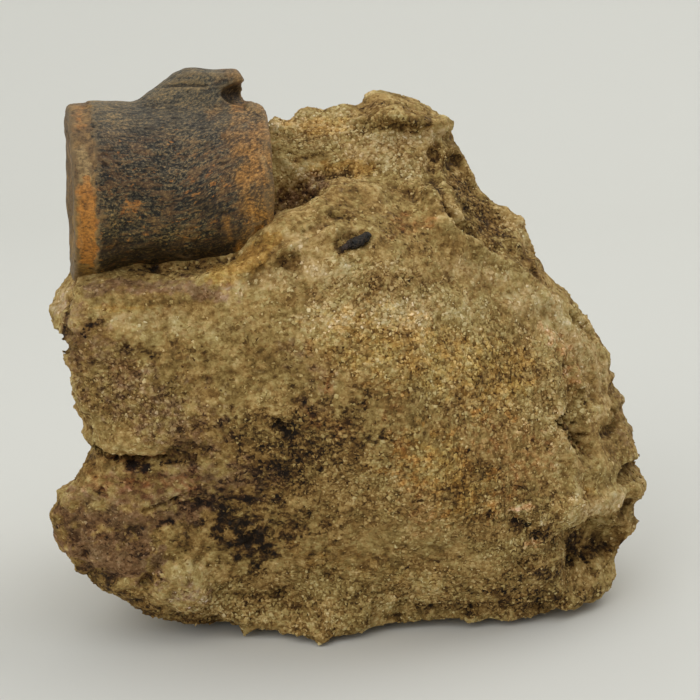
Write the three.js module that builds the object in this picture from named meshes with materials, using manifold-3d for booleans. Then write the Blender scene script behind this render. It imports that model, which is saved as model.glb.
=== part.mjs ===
// Fossil tail vertebra of a dinosaur, half freed from its block of sandstone.
// Millimetres, +Z up. The display side faces -Y and the block rests on its flat underside at Z = 0.
// Each rock form is a function that is negative inside the rock; a sphere of triangles is shrunk on to it.
import * as THREE from "three";
import { mergeVertices } from "three/addons/utils/BufferGeometryUtils.js";
import Module from "manifold-3d";

const wasm = await Module();
wasm.setup();

// ---- Driving dimensions ----

const blockCentre = new THREE.Vector3(0, 2, 48); // the shrinking sphere's centre, deep inside the block
const blockReach = 110; // a radius that clears the block on every side
const blockDetail = 16; // subdivisions of the sphere that becomes the block
const planeLean = THREE.MathUtils.degToRad(14); // the block's outline is drawn on a plane that leans back
const planeHeight = 56.5; // the leaning plane passes through this height on the Z axis
const frontTaper = 0.2; // how fast the sides draw in from the outline towards the display side
const backTaper = 0.35; // and towards the back
const rimDepthLeft = -20; // where the outline lies, before or behind the leaning plane, at the left end
const rimDepthRight = 8; // and at the right end
const fractureRounding = 5; // radius where two fracture faces meet
const blockRoughness = 0.8; // height of the weathered relief on the block and its nodule
const capRoughness = 0.4; // and on the thin cap slab
const socketGap = 0.3; // clearance between the bone and the rock that holds it

const centrumHalfLength = 20.1; // from the middle to each joint face of the vertebra
const centrumHalfWidth = 18.8;
const centrumHalfHeight = 19.2;
const vertebraPlace = new THREE.Vector3(-38.4, -10, 93.3);
const vertebraYaw = 12; // degrees; its right end turns away from the display side
const vertebraPitch = 0.7; // degrees about Y; its right end dips
const vertebraRoll = -6; // degrees about its own axis; its arch leans back
const archFoot = 9; // the arch is rooted this high above the axis, inside the centrum
const archRootHalfWidth = 10.5;
const archTopHalfWidth = 4.6;
const archCrown = 1.2; // how far the arch's broken top falls from its middle to its sides

const chipPlace = new THREE.Vector3(1.2, -27.3, 85.7);
const chipRadii = new THREE.Vector3(3.8, 2, 1.5);
const chipPitch = -18; // degrees about Y
const chipYaw = 35; // degrees about Z

// ---- Forms: functions of a point, negative inside ----

const vector = (x, y, z) => new THREE.Vector3(x, y, z);

function smoothMax(a, b, radius) {
  const overlap = Math.max(radius - Math.abs(a - b), 0) / radius;
  return Math.max(a, b) + (overlap * overlap * radius) / 4;
}

// What lies inside every form, joined forms, and one form less another, each with a rounded meeting line.
const common = (radius, ...forms) => (p) =>
  forms.reduce((d, form) => smoothMax(d, form(p), radius), -Infinity);
const joined = (radius, ...forms) => (p) => -common(radius, ...forms.map((form) => (q) => -form(q)))(p);
const without = (radius, form, cut) => (p) => smoothMax(form(p), -cut(p), radius);

// A fracture face through a point, with its outward normal.
function facet(point, normal) {
  const unit = normal.clone().normalize();
  const offset = unit.dot(point);
  return (p) => unit.dot(p) - offset;
}

// An ellipsoid, turned by Euler angles in degrees.
function lump(centre, radii, turn = vector(0, 0, 0)) {
  const angles = new THREE.Euler(...turn.toArray().map(THREE.MathUtils.degToRad));
  const inverse = new THREE.Matrix4().makeRotationFromEuler(angles).invert();
  const smallest = Math.min(radii.x, radii.y, radii.z);
  return (p) => {
    const local = p.clone().sub(centre).applyMatrix4(inverse).divide(radii);
    return (local.length() - 1) * smallest;
  };
}

// Smooth pseudo-random field between -1 and 1 whose bumps are about `size` across.
function roughness(size, seed) {
  const lattice = (i, j, k) => {
    const hash = Math.sin(i * 127.1 + j * 311.7 + k * 74.7 + seed * 53.3) * 43758.5453;
    return (hash - Math.floor(hash)) * 2 - 1;
  };
  const ease = (t) => t * t * (3 - 2 * t);
  const mix = THREE.MathUtils.lerp;
  return (p) => {
    const [x, y, z] = [p.x / size, p.y / size, p.z / size];
    const [i, j, k] = [Math.floor(x), Math.floor(y), Math.floor(z)];
    const [u, v, w] = [ease(x - i), ease(y - j), ease(z - k)];
    const row = (b, c) => mix(lattice(i, j + b, k + c), lattice(i + 1, j + b, k + c), u);
    return mix(mix(row(0, 0), row(1, 0), v), mix(row(0, 1), row(1, 1), v), w);
  };
}

// Weathered relief: bumps of three sizes, the broad ones the highest.
const broadRelief = roughness(17, 1);
const closeRelief = roughness(8, 2);
const fineRelief = roughness(5, 3);
const weathered = (form, amount) => (p) =>
  form(p) + amount * (broadRelief(p) + 0.6 * closeRelief(p) + 0.35 * fineRelief(p));

// ---- Solids ----

const mergeDistance = 1e-4; // corners closer than this are one
const raySteps = 60; // steps along each ray before its crossing is halved in on
const rayHalvings = 12;

function toSolid(geometry) {
  const bare = geometry.clone();
  bare.deleteAttribute("normal");
  bare.deleteAttribute("uv");
  const merged = mergeVertices(bare, mergeDistance);
  return new wasm.Manifold(
    new wasm.Mesh({
      numProp: 3,
      vertProperties: merged.getAttribute("position").array,
      triVerts: new Uint32Array(merged.index.array),
    }),
  );
}

function toGeometry(solid) {
  const mesh = solid.getMesh();
  const geometry = new THREE.BufferGeometry();
  geometry.setAttribute("position", new THREE.BufferAttribute(mesh.vertProperties, 3));
  geometry.setIndex(new THREE.BufferAttribute(mesh.triVerts, 1));
  geometry.computeVertexNormals();
  return geometry;
}

// Shrinks a sphere of triangles along its rays on to the form's surface, seen from a centre inside the form.
function shrinkOn(form, centre, reach, detail) {
  const sphere = new THREE.IcosahedronGeometry(1, detail);
  sphere.deleteAttribute("normal");
  sphere.deleteAttribute("uv");
  const geometry = mergeVertices(sphere, mergeDistance);
  const corners = geometry.getAttribute("position");
  const ray = vector(0, 0, 0);
  const at = (distance) => ray.clone().multiplyScalar(distance).add(centre);
  const step = reach / raySteps;
  for (let i = 0; i < corners.count; i += 1) {
    ray.fromBufferAttribute(corners, i).normalize();
    let outer = reach;
    while (outer > step && form(at(outer - step)) > 0) outer -= step;
    let inner = Math.max(outer - step, 0);
    for (let halving = 0; halving < rayHalvings; halving += 1) {
      const middle = (inner + outer) / 2;
      if (form(at(middle)) > 0) outer = middle;
      else inner = middle;
    }
    corners.setXYZ(i, ...at(inner).toArray());
  }
  return toSolid(geometry);
}

// ---- The block ----

// Outline of the block on the leaning plane, as [across, up] pairs, clockwise from the shelf's left end.
const blockOutline = [
  [-60, 69], [-52, 86], [-38, 95], [-24, 102], [-15, 106], [-11, 109], [-5, 109], [3, 109], [14, 109],
  [23, 105.5], [28, 97], [30, 92], [34.5, 87], [39, 83.5], [42.5, 76.5], [46, 72], [51.5, 66], [57, 58.5],
  [61.5, 48], [64.5, 38], [66, 31], [65, 27], [66, 20], [63.7, 12], [61, 4], [57.5, -4], [48, -14],
  [-24, -14], [-30, -9], [-38, -7.5], [-43, -2.5], [-48, -0.5], [-57, 6.5], [-62, 14], [-63.5, 20.5],
  [-61, 26], [-54, 32], [-56.5, 36], [-58.5, 44], [-59, 49], [-61, 51], [-61, 57],
];

// Distance inside a closed outline, negative outside it.
function depthInside(outline, x, y) {
  let nearest = Infinity;
  let inside = false;
  outline.forEach(([x1, y1], i) => {
    const [x2, y2] = outline[(i + 1) % outline.length];
    const [runX, runY] = [x2 - x1, y2 - y1];
    const share = THREE.MathUtils.clamp(((x - x1) * runX + (y - y1) * runY) / (runX ** 2 + runY ** 2), 0, 1);
    nearest = Math.min(nearest, Math.hypot(x - x1 - share * runX, y - y1 - share * runY));
    if (y1 > y !== y2 > y && x < x1 + ((y - y1) / runY) * runX) inside = !inside;
  });
  return inside ? nearest : -nearest;
}

// The leaning plane's outline drawn out before and behind it, with sides that draw in from the rim.
function leaningPrism(outline) {
  const [cos, sin] = [Math.cos(planeLean), Math.sin(planeLean)];
  return (p) => {
    const up = p.z * cos + p.y * sin;
    const depth = p.y * cos - (p.z - planeHeight) * sin;
    const rim = THREE.MathUtils.mapLinear(p.x, -60, 60, rimDepthLeft, rimDepthRight);
    const drawnIn = (depth < rim ? frontTaper : backTaper) * Math.abs(depth - rim);
    return drawnIn - depthInside(outline, p.x, up);
  };
}

const frontFaces = [
  facet(vector(-15, -37, 40), vector(-0.08, -0.99, -0.04)),
  facet(vector(0, -36, 64), vector(0, -0.966, 0.256)),
  facet(vector(27, -14, 79.5), vector(0.57, -0.73, 0.38)),
  facet(vector(30, -31, 40), vector(0.42, -0.9, 0.1)),
  facet(vector(50, -14, 45), vector(0.78, -0.56, 0.26)),
  facet(vector(0, -24, 0), vector(0.03, -0.94, -0.33)),
  facet(vector(50, -14, 0), vector(0.6, -0.72, -0.34)),
];
const backFaces = [
  facet(vector(8, 24, 104), vector(0.1, 0.6, 0.8)),
  facet(vector(0, 46, 45), vector(0.05, 0.97, 0.2)),
  facet(vector(42, 32, 40), vector(0.62, 0.75, 0.2)),
  facet(vector(-42, 34, 40), vector(-0.5, 0.82, 0.25)),
  facet(vector(-12, 36, 78), vector(-0.25, 0.78, 0.57)),
  facet(vector(12, 47, 16), vector(0.1, 0.93, -0.36)),
];
// The front mass rises to a rounded crest, with a dark fresh break on its right shoulder.
const freshBreak = facet(vector(31, 9.5, 89), vector(0.49, -0.4, 0.77));
const frontMass = common(
  3,
  facet(vector(1, -30, 86), vector(0, -0.5, 0.87)),
  facet(vector(-17, -24, 86.5), vector(-0.62, 0, 0.78)),
  facet(vector(0, -12, 98), vector(0.05, 0.2, 1)),
  freshBreak,
);
// The back mass stands behind it as a wall.
const backMass = common(
  3,
  facet(vector(0, -1, 100.5), vector(0, -0.72, 0.69)),
  facet(vector(0, 12, 110), vector(-0.04, 0.05, 1)),
  facet(vector(-17, 3, 104), vector(-0.8, 0, 0.6)),
  facet(vector(21, 6, 103), vector(0.75, -0.35, 0.55)),
);
// The shelf under the bone slopes down towards the display side; rock behind the bone backs it.
const shelf = common(
  2,
  facet(vector(-40, -22, 79), vector(-0.01, -0.22, 0.97)),
  facet(vector(-53, -20, 78.5), vector(-0.62, 0, 0.78)),
);
const bonesBacking = common(
  4,
  facet(vector(-35, 16, 94), vector(-0.2, 0.15, 0.97)),
  facet(vector(-35, 6, 88), vector(0, -0.85, 0.5)),
);
// Rock worked away beside the bone's right end, between the crest and the wall behind it.
const workedHollow = lump(vector(-13, -12, 98), vector(11, 7, 10), vector(0, -25, 0));
const crestGroove = lump(vector(4, -6, 99.5), vector(16, 4, 5), vector(0, 6, 0));
const lowerRightHollow = lump(vector(57, -20, 14), vector(9, 8, 11));
const foot = lump(vector(-3, -20, 1), vector(11, 11, 10));
const sideKnob = lump(vector(60, 3, 27), vector(6, 8, 7));
const leftFlank = lump(vector(-31, 13, 30), vector(22, 28, 30));
// The low lobe at the left, and the crack that parts it from the rock above.
const lobeBulge = lump(vector(-42, -17, 18), vector(25, 19, 17), vector(0, 20, 0));
const crackPlace = vector(-46, -39, 40.5);
const lobeCrack = lump(crackPlace, vector(15, 9, 1.5), vector(0, -2, 0));
// Two pieces of rock that overhang: the cap slab at the back, and a nodule under the bone's left end.
const capPlace = vector(13, 10, 105.5);
const capSlab = common(
  3,
  lump(capPlace, vector(13, 12, 8), vector(0, 20, 0)),
  facet(vector(13, 10, 102), vector(0.1, -0.2, -0.97)),
  facet(vector(3, 10, 106), vector(-0.9, -0.35, 0.25)),
  facet(vector(8, 10, 111), vector(0.34, -0.1, 0.93)),
);
const nodulePlace = vector(-56.5, -14, 67.5);
const nodule = lump(nodulePlace, vector(6, 11, 7), vector(25, 0, 0));

function blockForm() {
  const prism = leaningPrism(blockOutline);
  const shell = common(fractureRounding, prism, ...frontFaces, ...backFaces);
  const top = joined(3, frontMass, backMass, shelf, bonesBacking);
  const lobe = common(3, lobeBulge, prism);
  const whole = joined(4, common(2, shell, top), lobe, foot, sideKnob, leftFlank);
  return [workedHollow, crestGroove, lowerRightHollow].reduce((form, cut) => without(3, form, cut), whole);
}

function makeBlock() {
  const body = shrinkOn(weathered(blockForm(), blockRoughness), blockCentre, blockReach, blockDetail);
  return body
    .add(shrinkOn(weathered(capSlab, capRoughness), capPlace, 22, 5))
    .add(shrinkOn(weathered(nodule, blockRoughness), nodulePlace, 16, 3))
    .subtract(shrinkOn(lobeCrack, crackPlace, 20, 4))
    .trimByPlane([0, 0, 1], 0);
}

// ---- The vertebra ----

// Half section of the centrum, from the middle of its left joint face round to the middle of its right one,
// as [along the axis, out from it] in millimetres. The left lip is thick, the right one sharp.
const centrumProfile = [
  [-18.1, 0], [-18.3, 6], [-18.9, 11.5], [-19.7, 15.5], [-20.1, 17.3], [-19.8, 18.4],
  [-18.8, 18.8], [-17.1, 18.8], [-15.3, 19.2], [-13.5, 18.8], [-11, 17.9], [-6, 17.1],
  [0, 16.8], [6, 17.1], [11, 17.8], [14.5, 18.5], [17.1, 18.9], [18.9, 19.2],
  [19.9, 18.8], [20.1, 17.6], [19.5, 15.5], [18.9, 11.5], [18.3, 6], [18.1, 0],
];
const backFilling = 0.65; // share of the waist's hollow that is filled along the dorsal side
const dorsalReach = 17; // the filling stops this far either side of the middle, short of the lips
const sideSquash = centrumHalfWidth / centrumHalfHeight;

function makeCentrum(extra) {
  const [growAlong, growOut] = [1 + extra / centrumHalfLength, 1 + extra / centrumHalfHeight];
  const points = centrumProfile.map(([along, out]) => new THREE.Vector2(out * growOut, along * growAlong));
  const geometry = new THREE.LatheGeometry(points, 36);
  const corners = geometry.getAttribute("position");
  for (let i = 0; i < corners.count; i += 1) {
    // The lathe turns about Y; the bone's axis is X, with its arch towards +Z.
    const [up, along, side] = [corners.getX(i), corners.getY(i), corners.getZ(i)];
    const radius = Math.hypot(up, side);
    const dorsal = radius > 0 ? Math.max(up / radius, 0) ** 2 : 0;
    const onWaist = Math.abs(along) < dorsalReach;
    const fill = onWaist ? 1 + (dorsal * backFilling * (centrumHalfHeight - radius)) / radius : 1;
    corners.setXYZ(i, along, side * fill * sideSquash, up * fill);
  }
  return toSolid(geometry);
}

// Side view of the arch's broken top edge, as [along the axis, height above it].
const archEdge = [
  [-13, 15], [-9, 17.8], [-5, 19], [-2, 20.8], [1, 23.6], [3.5, 25.4], [6, 25.6],
  [10, 25], [14.5, 25.2], [16.8, 24.9], [17.4, 21.5],
];

function makeArch(extra) {
  const geometry = new THREE.BoxGeometry(1, 1, 1, 14, 4, 6);
  const corners = geometry.getAttribute("position");
  const [first, last] = [archEdge[0][0], archEdge[archEdge.length - 1][0]];
  const edgeAt = (x) => {
    const i = Math.max(1, archEdge.findIndex(([along]) => along >= x - 1e-6));
    const [[x1, z1], [x2, z2]] = [archEdge[i - 1], archEdge[i]];
    return THREE.MathUtils.mapLinear(x, x1, x2, z1, z2);
  };
  for (let i = 0; i < corners.count; i += 1) {
    const along = THREE.MathUtils.mapLinear(corners.getX(i), -0.5, 0.5, first, last);
    const side = corners.getY(i) * 2;
    const rise = corners.getZ(i) + 0.5;
    const halfWidth = THREE.MathUtils.lerp(archRootHalfWidth, archTopHalfWidth, rise ** 0.7) + extra;
    const crown = archCrown * side * side * rise;
    const height = archFoot + (edgeAt(along) - archFoot) * rise - crown + extra * rise;
    corners.setXYZ(i, along * (1 + extra / last), side * halfWidth, height);
  }
  return toSolid(geometry);
}

// The neural canal runs along the bone under the arch; only its two broken mouths are open.
const canalMouths = [
  { place: vector(18, -3, 19.7), radii: vector(7, 8, 2.9) },
  { place: vector(-15, 0, 19.6), radii: vector(5, 2.8, 2.4) },
];

function vertebraSolid(extra) {
  const bone = makeCentrum(extra).add(makeArch(extra));
  if (extra > 0) return bone;
  return canalMouths.reduce((rest, { place, radii }) => {
    const mouth = new THREE.SphereGeometry(1, 16, 10);
    mouth.scale(...radii.toArray()).translate(...place.toArray());
    return rest.subtract(toSolid(mouth));
  }, bone);
}

function placeBone(solid) {
  const turn = new THREE.Matrix4().makeRotationFromEuler(
    new THREE.Euler(...[vertebraRoll, vertebraPitch, vertebraYaw].map(THREE.MathUtils.degToRad), "ZYX"),
  );
  turn.setPosition(vertebraPlace);
  return solid.transform(turn.toArray());
}

// ---- The chip of bone bedded in the front of the block ----

function chipSolid(extra) {
  const radii = chipRadii.clone().addScalar(extra);
  const geometry = new THREE.SphereGeometry(1, 12, 8).scale(...radii.toArray());
  geometry.rotateY(THREE.MathUtils.degToRad(chipPitch));
  geometry.rotateZ(THREE.MathUtils.degToRad(chipYaw));
  return toSolid(geometry.translate(...chipPlace.toArray()));
}

// ---- Assembly ----

function makeMesh(name, solid, colour, roughnessValue) {
  const finish = { color: colour, roughness: roughnessValue, metalness: 0 };
  const mesh = new THREE.Mesh(toGeometry(solid), new THREE.MeshStandardMaterial(finish));
  mesh.name = name;
  return mesh;
}

const bone = placeBone(vertebraSolid(0));
const chip = chipSolid(0);
const block = makeBlock().subtract(placeBone(vertebraSolid(socketGap))).subtract(chipSolid(socketGap));
const part = new THREE.Group();
part.add(makeMesh("sandstone_matrix", block, 0x9c825a, 0.95));
part.add(makeMesh("vertebra", bone, 0x5a4c3a, 0.6));
part.add(makeMesh("bone_chip", chip, 0x20201f, 0.5));

// The origin lies in the resting plane, under the middle of the whole specimen.
const middle = new THREE.Box3().setFromObject(part).getCenter(vector(0, 0, 0));
part.children.forEach((mesh) => mesh.geometry.translate(-middle.x, -middle.y, 0));

export default part;
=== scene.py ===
import math

import bpy
import numpy as np
from mathutils import Euler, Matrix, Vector, noise
from mathutils.bvhtree import BVHTree
from mathutils.kdtree import KDTree


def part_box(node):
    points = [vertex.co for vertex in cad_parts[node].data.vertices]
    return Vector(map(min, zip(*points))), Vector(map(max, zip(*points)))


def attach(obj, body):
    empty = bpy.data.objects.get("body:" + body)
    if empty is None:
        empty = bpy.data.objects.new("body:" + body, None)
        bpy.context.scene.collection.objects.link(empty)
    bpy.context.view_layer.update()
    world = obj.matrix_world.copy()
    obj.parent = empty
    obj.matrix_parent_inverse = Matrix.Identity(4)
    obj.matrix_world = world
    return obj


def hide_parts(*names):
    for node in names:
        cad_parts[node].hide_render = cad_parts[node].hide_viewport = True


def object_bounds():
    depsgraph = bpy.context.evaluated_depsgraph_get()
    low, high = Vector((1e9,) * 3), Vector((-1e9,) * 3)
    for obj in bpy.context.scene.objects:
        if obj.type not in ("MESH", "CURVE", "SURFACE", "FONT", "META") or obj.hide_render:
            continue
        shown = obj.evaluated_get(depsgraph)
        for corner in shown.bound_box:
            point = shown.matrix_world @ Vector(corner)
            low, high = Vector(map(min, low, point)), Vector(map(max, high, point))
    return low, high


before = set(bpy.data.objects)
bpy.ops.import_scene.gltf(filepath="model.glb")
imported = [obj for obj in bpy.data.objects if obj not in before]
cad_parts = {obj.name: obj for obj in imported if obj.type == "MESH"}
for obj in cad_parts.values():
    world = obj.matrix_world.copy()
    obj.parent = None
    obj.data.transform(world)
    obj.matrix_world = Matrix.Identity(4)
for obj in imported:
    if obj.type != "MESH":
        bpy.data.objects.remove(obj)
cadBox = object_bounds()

mm = 0.001


def pick(piece):
    # work on one piece alone
    bpy.ops.object.select_all(action="DESELECT")
    piece.select_set(True)
    bpy.context.view_layer.objects.active = piece


def modify(piece, kind, **settings):
    pick(piece)
    bpy.ops.object.modifier_add(type=kind)
    modifier = piece.modifiers[-1]
    for name, value in settings.items():
        setattr(modifier, name, value)
    bpy.ops.object.modifier_apply(modifier=modifier.name)


def wrap(piece, voxel):
    # a new skin of even, small faces
    modify(piece, "REMESH", mode="VOXEL", voxel_size=voxel * mm)


def soften(piece, passes):
    modify(piece, "SMOOTH", factor=0.5, iterations=passes)


def editAll(tool, **settings):
    # an edit-mode tool on the whole of the active mesh
    bpy.ops.object.mode_set(mode="EDIT")
    bpy.ops.mesh.select_all(action="SELECT")
    tool(**settings)
    bpy.ops.object.mode_set(mode="OBJECT")


def addPiece(name, mesh):
    piece = bpy.data.objects.new(name, mesh)
    bpy.context.scene.collection.objects.link(piece)
    return piece


def copyNode(node, name):
    # the CAD meshes are loose triangles, so the copy is merged before it is shaped
    piece = addPiece(name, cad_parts[node].data.copy())
    piece.data.materials.clear()
    pick(piece)
    editAll(bpy.ops.mesh.remove_doubles, threshold=0.001 * mm)
    return piece


def readAll(items, name, width=3, kind=np.float32):
    # one property of every corner, edge or face, a row for each
    flat = np.empty(len(items) * width, kind)
    items.foreach_get(name, flat)
    return flat.reshape(-1, width).astype(float if kind is np.float32 else int)


def places(piece):
    # every corner of the mesh, in millimetres
    return readAll(piece.data.vertices, "co") / mm


def normals(piece):
    return readAll(piece.data.vertices, "normal")


def moveTo(piece, points):
    piece.data.vertices.foreach_set("co", (points * mm).astype(np.float32).ravel())
    piece.data.update()


def averaged(piece, values, passes):
    # each corner takes the mean of its neighbours, over and over
    a, b = readAll(piece.data.edges, "vertices", 2, np.int32).T
    count = len(values)
    near = np.bincount(a, minlength=count) + np.bincount(b, minlength=count)
    values = values.copy()
    for _ in range(passes):
        for column in range(values.shape[1]):
            v = values[:, column]
            total = np.bincount(a, v[b], count) + np.bincount(b, v[a], count)
            values[:, column] = total / np.maximum(near, 1)
    return values


def hollowsOf(piece, scales):
    # how deep each corner lies among its neighbours, 0.5 where it is level; scales: passes and weight
    points, facing = places(piece), normals(piece)
    depth = 0.5
    for passes, weight in scales:
        depth = depth + ((averaged(piece, points, passes) - points) * facing).sum(1) * weight
    return np.clip(depth, 0, 1)


def noiseField(points, size, octaves=3, shift=0.0):
    away = Vector((shift, shift * 1.7, shift * 0.6))
    return np.array([noise.fractal(Vector(p) / size + away, 1.0, 2.0, octaves) for p in points])


def brush(points, path, reach, edge=0.8, ragged=0, amount=0.3):
    # how much a stroke along the path covers each point: 1 inside, falling to 0 at its reach
    scaled = points / np.array(reach)
    route = np.atleast_2d(np.array(path, float)) / np.array(reach)
    nearest = np.linalg.norm(scaled - route[0], axis=1)
    for start, end in zip(route[:-1], route[1:]):
        run = end - start
        share = np.clip((scaled - start) @ run / (run @ run), 0, 1)
        nearest = np.minimum(nearest, np.linalg.norm(scaled - start - share[:, None] * run, axis=1))
    fade = np.clip((1 - (nearest + amount * ragged)) / edge, 0, 1)
    return fade * fade * (3 - 2 * fade)


def sculpt(piece, strokes, uneven=3.0, amount=0.3):
    # each stroke: path, reach, push in mm (outwards, or a way to move), and the softness of its edge
    points = places(piece)
    ragged = noiseField(points, uneven)
    for path, reach, push, edge in strokes:
        weight = brush(points, path, reach, edge, ragged, amount)[:, None]
        way = normals(piece) * push if np.isscalar(push) else np.array(push)
        points = points + weight * way
        moveTo(piece, points)


def paint(points, dabs, uneven=2.5, octaves=4, shift=7, amount=0.6):
    # each dab: path, reach, strength; a point keeps the strongest dab of each channel
    ragged = noiseField(points, uneven, octaves, shift)
    layers = {}
    for channel, strokes in dabs.items():
        covers = [strength * brush(points, path, reach, ragged=ragged, amount=amount)
                  for path, reach, strength in strokes]
        layers[channel] = np.max(covers, axis=0)
    return layers


def fitTo(piece, node):
    # the finished piece keeps the CAD node's box
    low, high = (np.array(corner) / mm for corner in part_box(node))
    points = places(piece)
    own = points.min(0), points.max(0)
    moveTo(piece, low + (points - own[0]) * (high - low) / (own[1] - own[0]))


def giveAttribute(piece, name, *channels):
    # three channels painted on the corners, or one in all three, for the material to read
    channels = channels if len(channels) == 3 else channels * 3
    layer = piece.data.color_attributes.new(name, "FLOAT_COLOR", "POINT")
    solid = np.ones(len(channels[0]))
    layer.data.foreach_set("color", np.stack([*channels, solid], 1).astype(np.float32).ravel())


class Wire:
    def __init__(self, tree, socket=None):
        self.tree = tree
        self.socket = socket

    def node(self, kind, settings=None, inputs=None, output=0):
        made = self.tree.nodes.new("ShaderNode" + kind)
        for name, value in (settings or {}).items():
            if name == "stops":
                ramp = made.color_ramp
                ramp.elements.remove(ramp.elements[1])
                for index, (position, seen) in enumerate(value):
                    stop = ramp.elements[0] if index == 0 else ramp.elements.new(position)
                    stop.position = position
                    stop.color = colour(*seen)
            else:
                setattr(made, name, value)
        for name, value in (inputs or {}).items():
            if isinstance(value, Wire):
                self.tree.links.new(value.socket, made.inputs[name])
            else:
                made.inputs[name].default_value = value
        return Wire(self.tree, made.outputs[output]) if made.outputs else made

    def math(self, operation, *terms):
        return self.node("Math", {"operation": operation}, dict(enumerate(terms)))

    def __add__(self, other):
        return self.math("ADD", self, other)

    def __mul__(self, other):
        return self.math("MULTIPLY", self, other)

    def __sub__(self, other):
        return self.math("SUBTRACT", self, other)

    def __rsub__(self, other):
        return self.math("SUBTRACT", other, self)

    __radd__ = __add__
    __rmul__ = __mul__

    def ramp(self, low, high):
        # 0 below low, 1 above high, smooth between
        return self.node("MapRange", {"interpolation_type": "SMOOTHSTEP"},
                         {"Value": self, "From Min": low, "From Max": high})


def colour(red, green, blue):
    # a colour as seen, turned to the renderer's linear light
    def linear(value):
        value /= 255
        return value / 12.92 if value <= 0.04045 else ((value + 0.055) / 1.055) ** 2.4
    return (linear(red), linear(green), linear(blue), 1)


def mix(factor, first, second, blend="MIX"):
    wire = next(value for value in (factor, first, second) if isinstance(value, Wire))
    return wire.node("Mix", {"data_type": "RGBA", "blend_type": blend}, {0: factor, 6: first, 7: second}, 2)


def tint(factor, base, by):
    # the colour multiplied by another, as far as the factor goes
    return mix(factor, base, mix(1.0, base, by if isinstance(by, Wire) else (*by, 1), "MULTIPLY"))


def newMaterial(name, settings=None, mapping=None):
    # a material, a wire to build it with, and the place on the piece in mm
    material = bpy.data.materials.new(name)
    material.use_nodes = True
    material.node_tree.nodes.clear()
    wire = Wire(material.node_tree)
    mapping = mapping or {"Scale": (1 / mm, 1 / mm, 1 / mm)}
    place = wire.node("Mapping", settings, {"Vector": wire.node("TexCoord", output="Object"), **mapping})
    return material, wire, place


def giveShader(wire, inputs):
    wire.node("OutputMaterial", {}, {"Surface": wire.node("BsdfPrincipled", {}, inputs)})


def painted(wire, attribute):
    whole = wire.node("Attribute", {"attribute_name": attribute})
    return [wire.node("SeparateColor", {}, {"Color": whole}, name) for name in ("Red", "Green", "Blue")]


print("helpers ready")


stageSet = {
    "aimFromMiddle": (-2, -6, -2.8),  # mm, where the camera looks, from the middle of the specimen's box
    "distance": 364, "elevation": 14, "lens": 85,  # mm, degrees, mm
    # sizes and places in metres
    "floorSize": 3.0, "sweepBack": 0.9, "sweepTall": 1.2, "sweepRadius": 0.4,
    "floorColour": (212, 212, 206), "floorRoughness": 0.9, "floorGloss": 0.1,
    "worldLight": (1.0, 1.0, 0.98), "worldStrength": 0.4,
    "lightsFace": (0, 0, 0.05),
    "lights": {
        "overhead": {"place": (-0.05, 0.0, 1.2), "size": 2.4, "watts": 10.5},
        "behind": {"place": (0.8, 0.5, 1.0), "size": 1.2, "watts": 4.5},
        "front": {"place": (-0.8, -1.1, 0.8), "size": 1.3, "watts": 7.5},
    },
}


def addCamera():
    lift = math.radians(stageSet["elevation"])
    middle = (Vector(cadBox[0]) + Vector(cadBox[1])) / 2
    aim = middle + Vector(stageSet["aimFromMiddle"]) * mm
    away = Vector((0, -math.cos(lift), math.sin(lift))) * stageSet["distance"] * mm
    bpy.ops.object.camera_add(location=aim + away, rotation=(math.pi / 2 - lift, 0, 0))
    camera = bpy.context.object
    camera.data.lens = stageSet["lens"]
    camera.data.clip_start = 0.01
    bpy.context.scene.camera = camera


def addFloor():
    size, back = stageSet["floorSize"], stageSet["sweepBack"]
    bpy.ops.mesh.primitive_plane_add(size=size, location=(0, back - size / 2, 0))
    floor = bpy.context.object
    floor.name = "studioFloor"
    bpy.ops.object.transform_apply(location=True, rotation=True, scale=True)
    bpy.ops.object.mode_set(mode="EDIT")
    bpy.ops.mesh.select_all(action="DESELECT")
    bpy.ops.object.mode_set(mode="OBJECT")
    for edge in floor.data.edges:
        edge.select = all(floor.data.vertices[i].co.y > back - 0.01 for i in edge.vertices)
    bpy.ops.object.mode_set(mode="EDIT")
    bpy.ops.mesh.extrude_region_move(TRANSFORM_OT_translate={"value": (0, 0, stageSet["sweepTall"])})
    bpy.ops.object.mode_set(mode="OBJECT")
    modify(floor, "BEVEL", width=stageSet["sweepRadius"], segments=24, limit_method="ANGLE")
    pick(floor)
    bpy.ops.object.shade_smooth()
    material = bpy.data.materials.new("palePaper")
    material.use_nodes = True
    shader = material.node_tree.nodes["Principled BSDF"]
    shader.inputs["Base Color"].default_value = colour(*stageSet["floorColour"])
    shader.inputs["Roughness"].default_value = stageSet["floorRoughness"]
    shader.inputs["Specular IOR Level"].default_value = stageSet["floorGloss"]
    floor.data.materials.append(material)


def addLights():
    for name, light in stageSet["lights"].items():
        place = Vector(light["place"])
        facing = (Vector(stageSet["lightsFace"]) - place).to_track_quat("-Z", "Y").to_euler()
        bpy.ops.object.light_add(type="AREA", location=place, rotation=facing)
        lamp = bpy.context.object.data
        lamp.name = name
        lamp.shape = "DISK"
        lamp.size = light["size"]
        lamp.energy = light["watts"]
    world = bpy.data.worlds.new("studio")
    bpy.context.scene.world = world
    world.use_nodes = True
    sky = world.node_tree.nodes["Background"]
    sky.inputs["Color"].default_value = (*stageSet["worldLight"], 1)
    sky.inputs["Strength"].default_value = stageSet["worldStrength"]
    bpy.context.scene.view_settings.view_transform = "Standard"


addCamera()
addFloor()
addLights()
print("camera, floor and lights in place")


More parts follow.
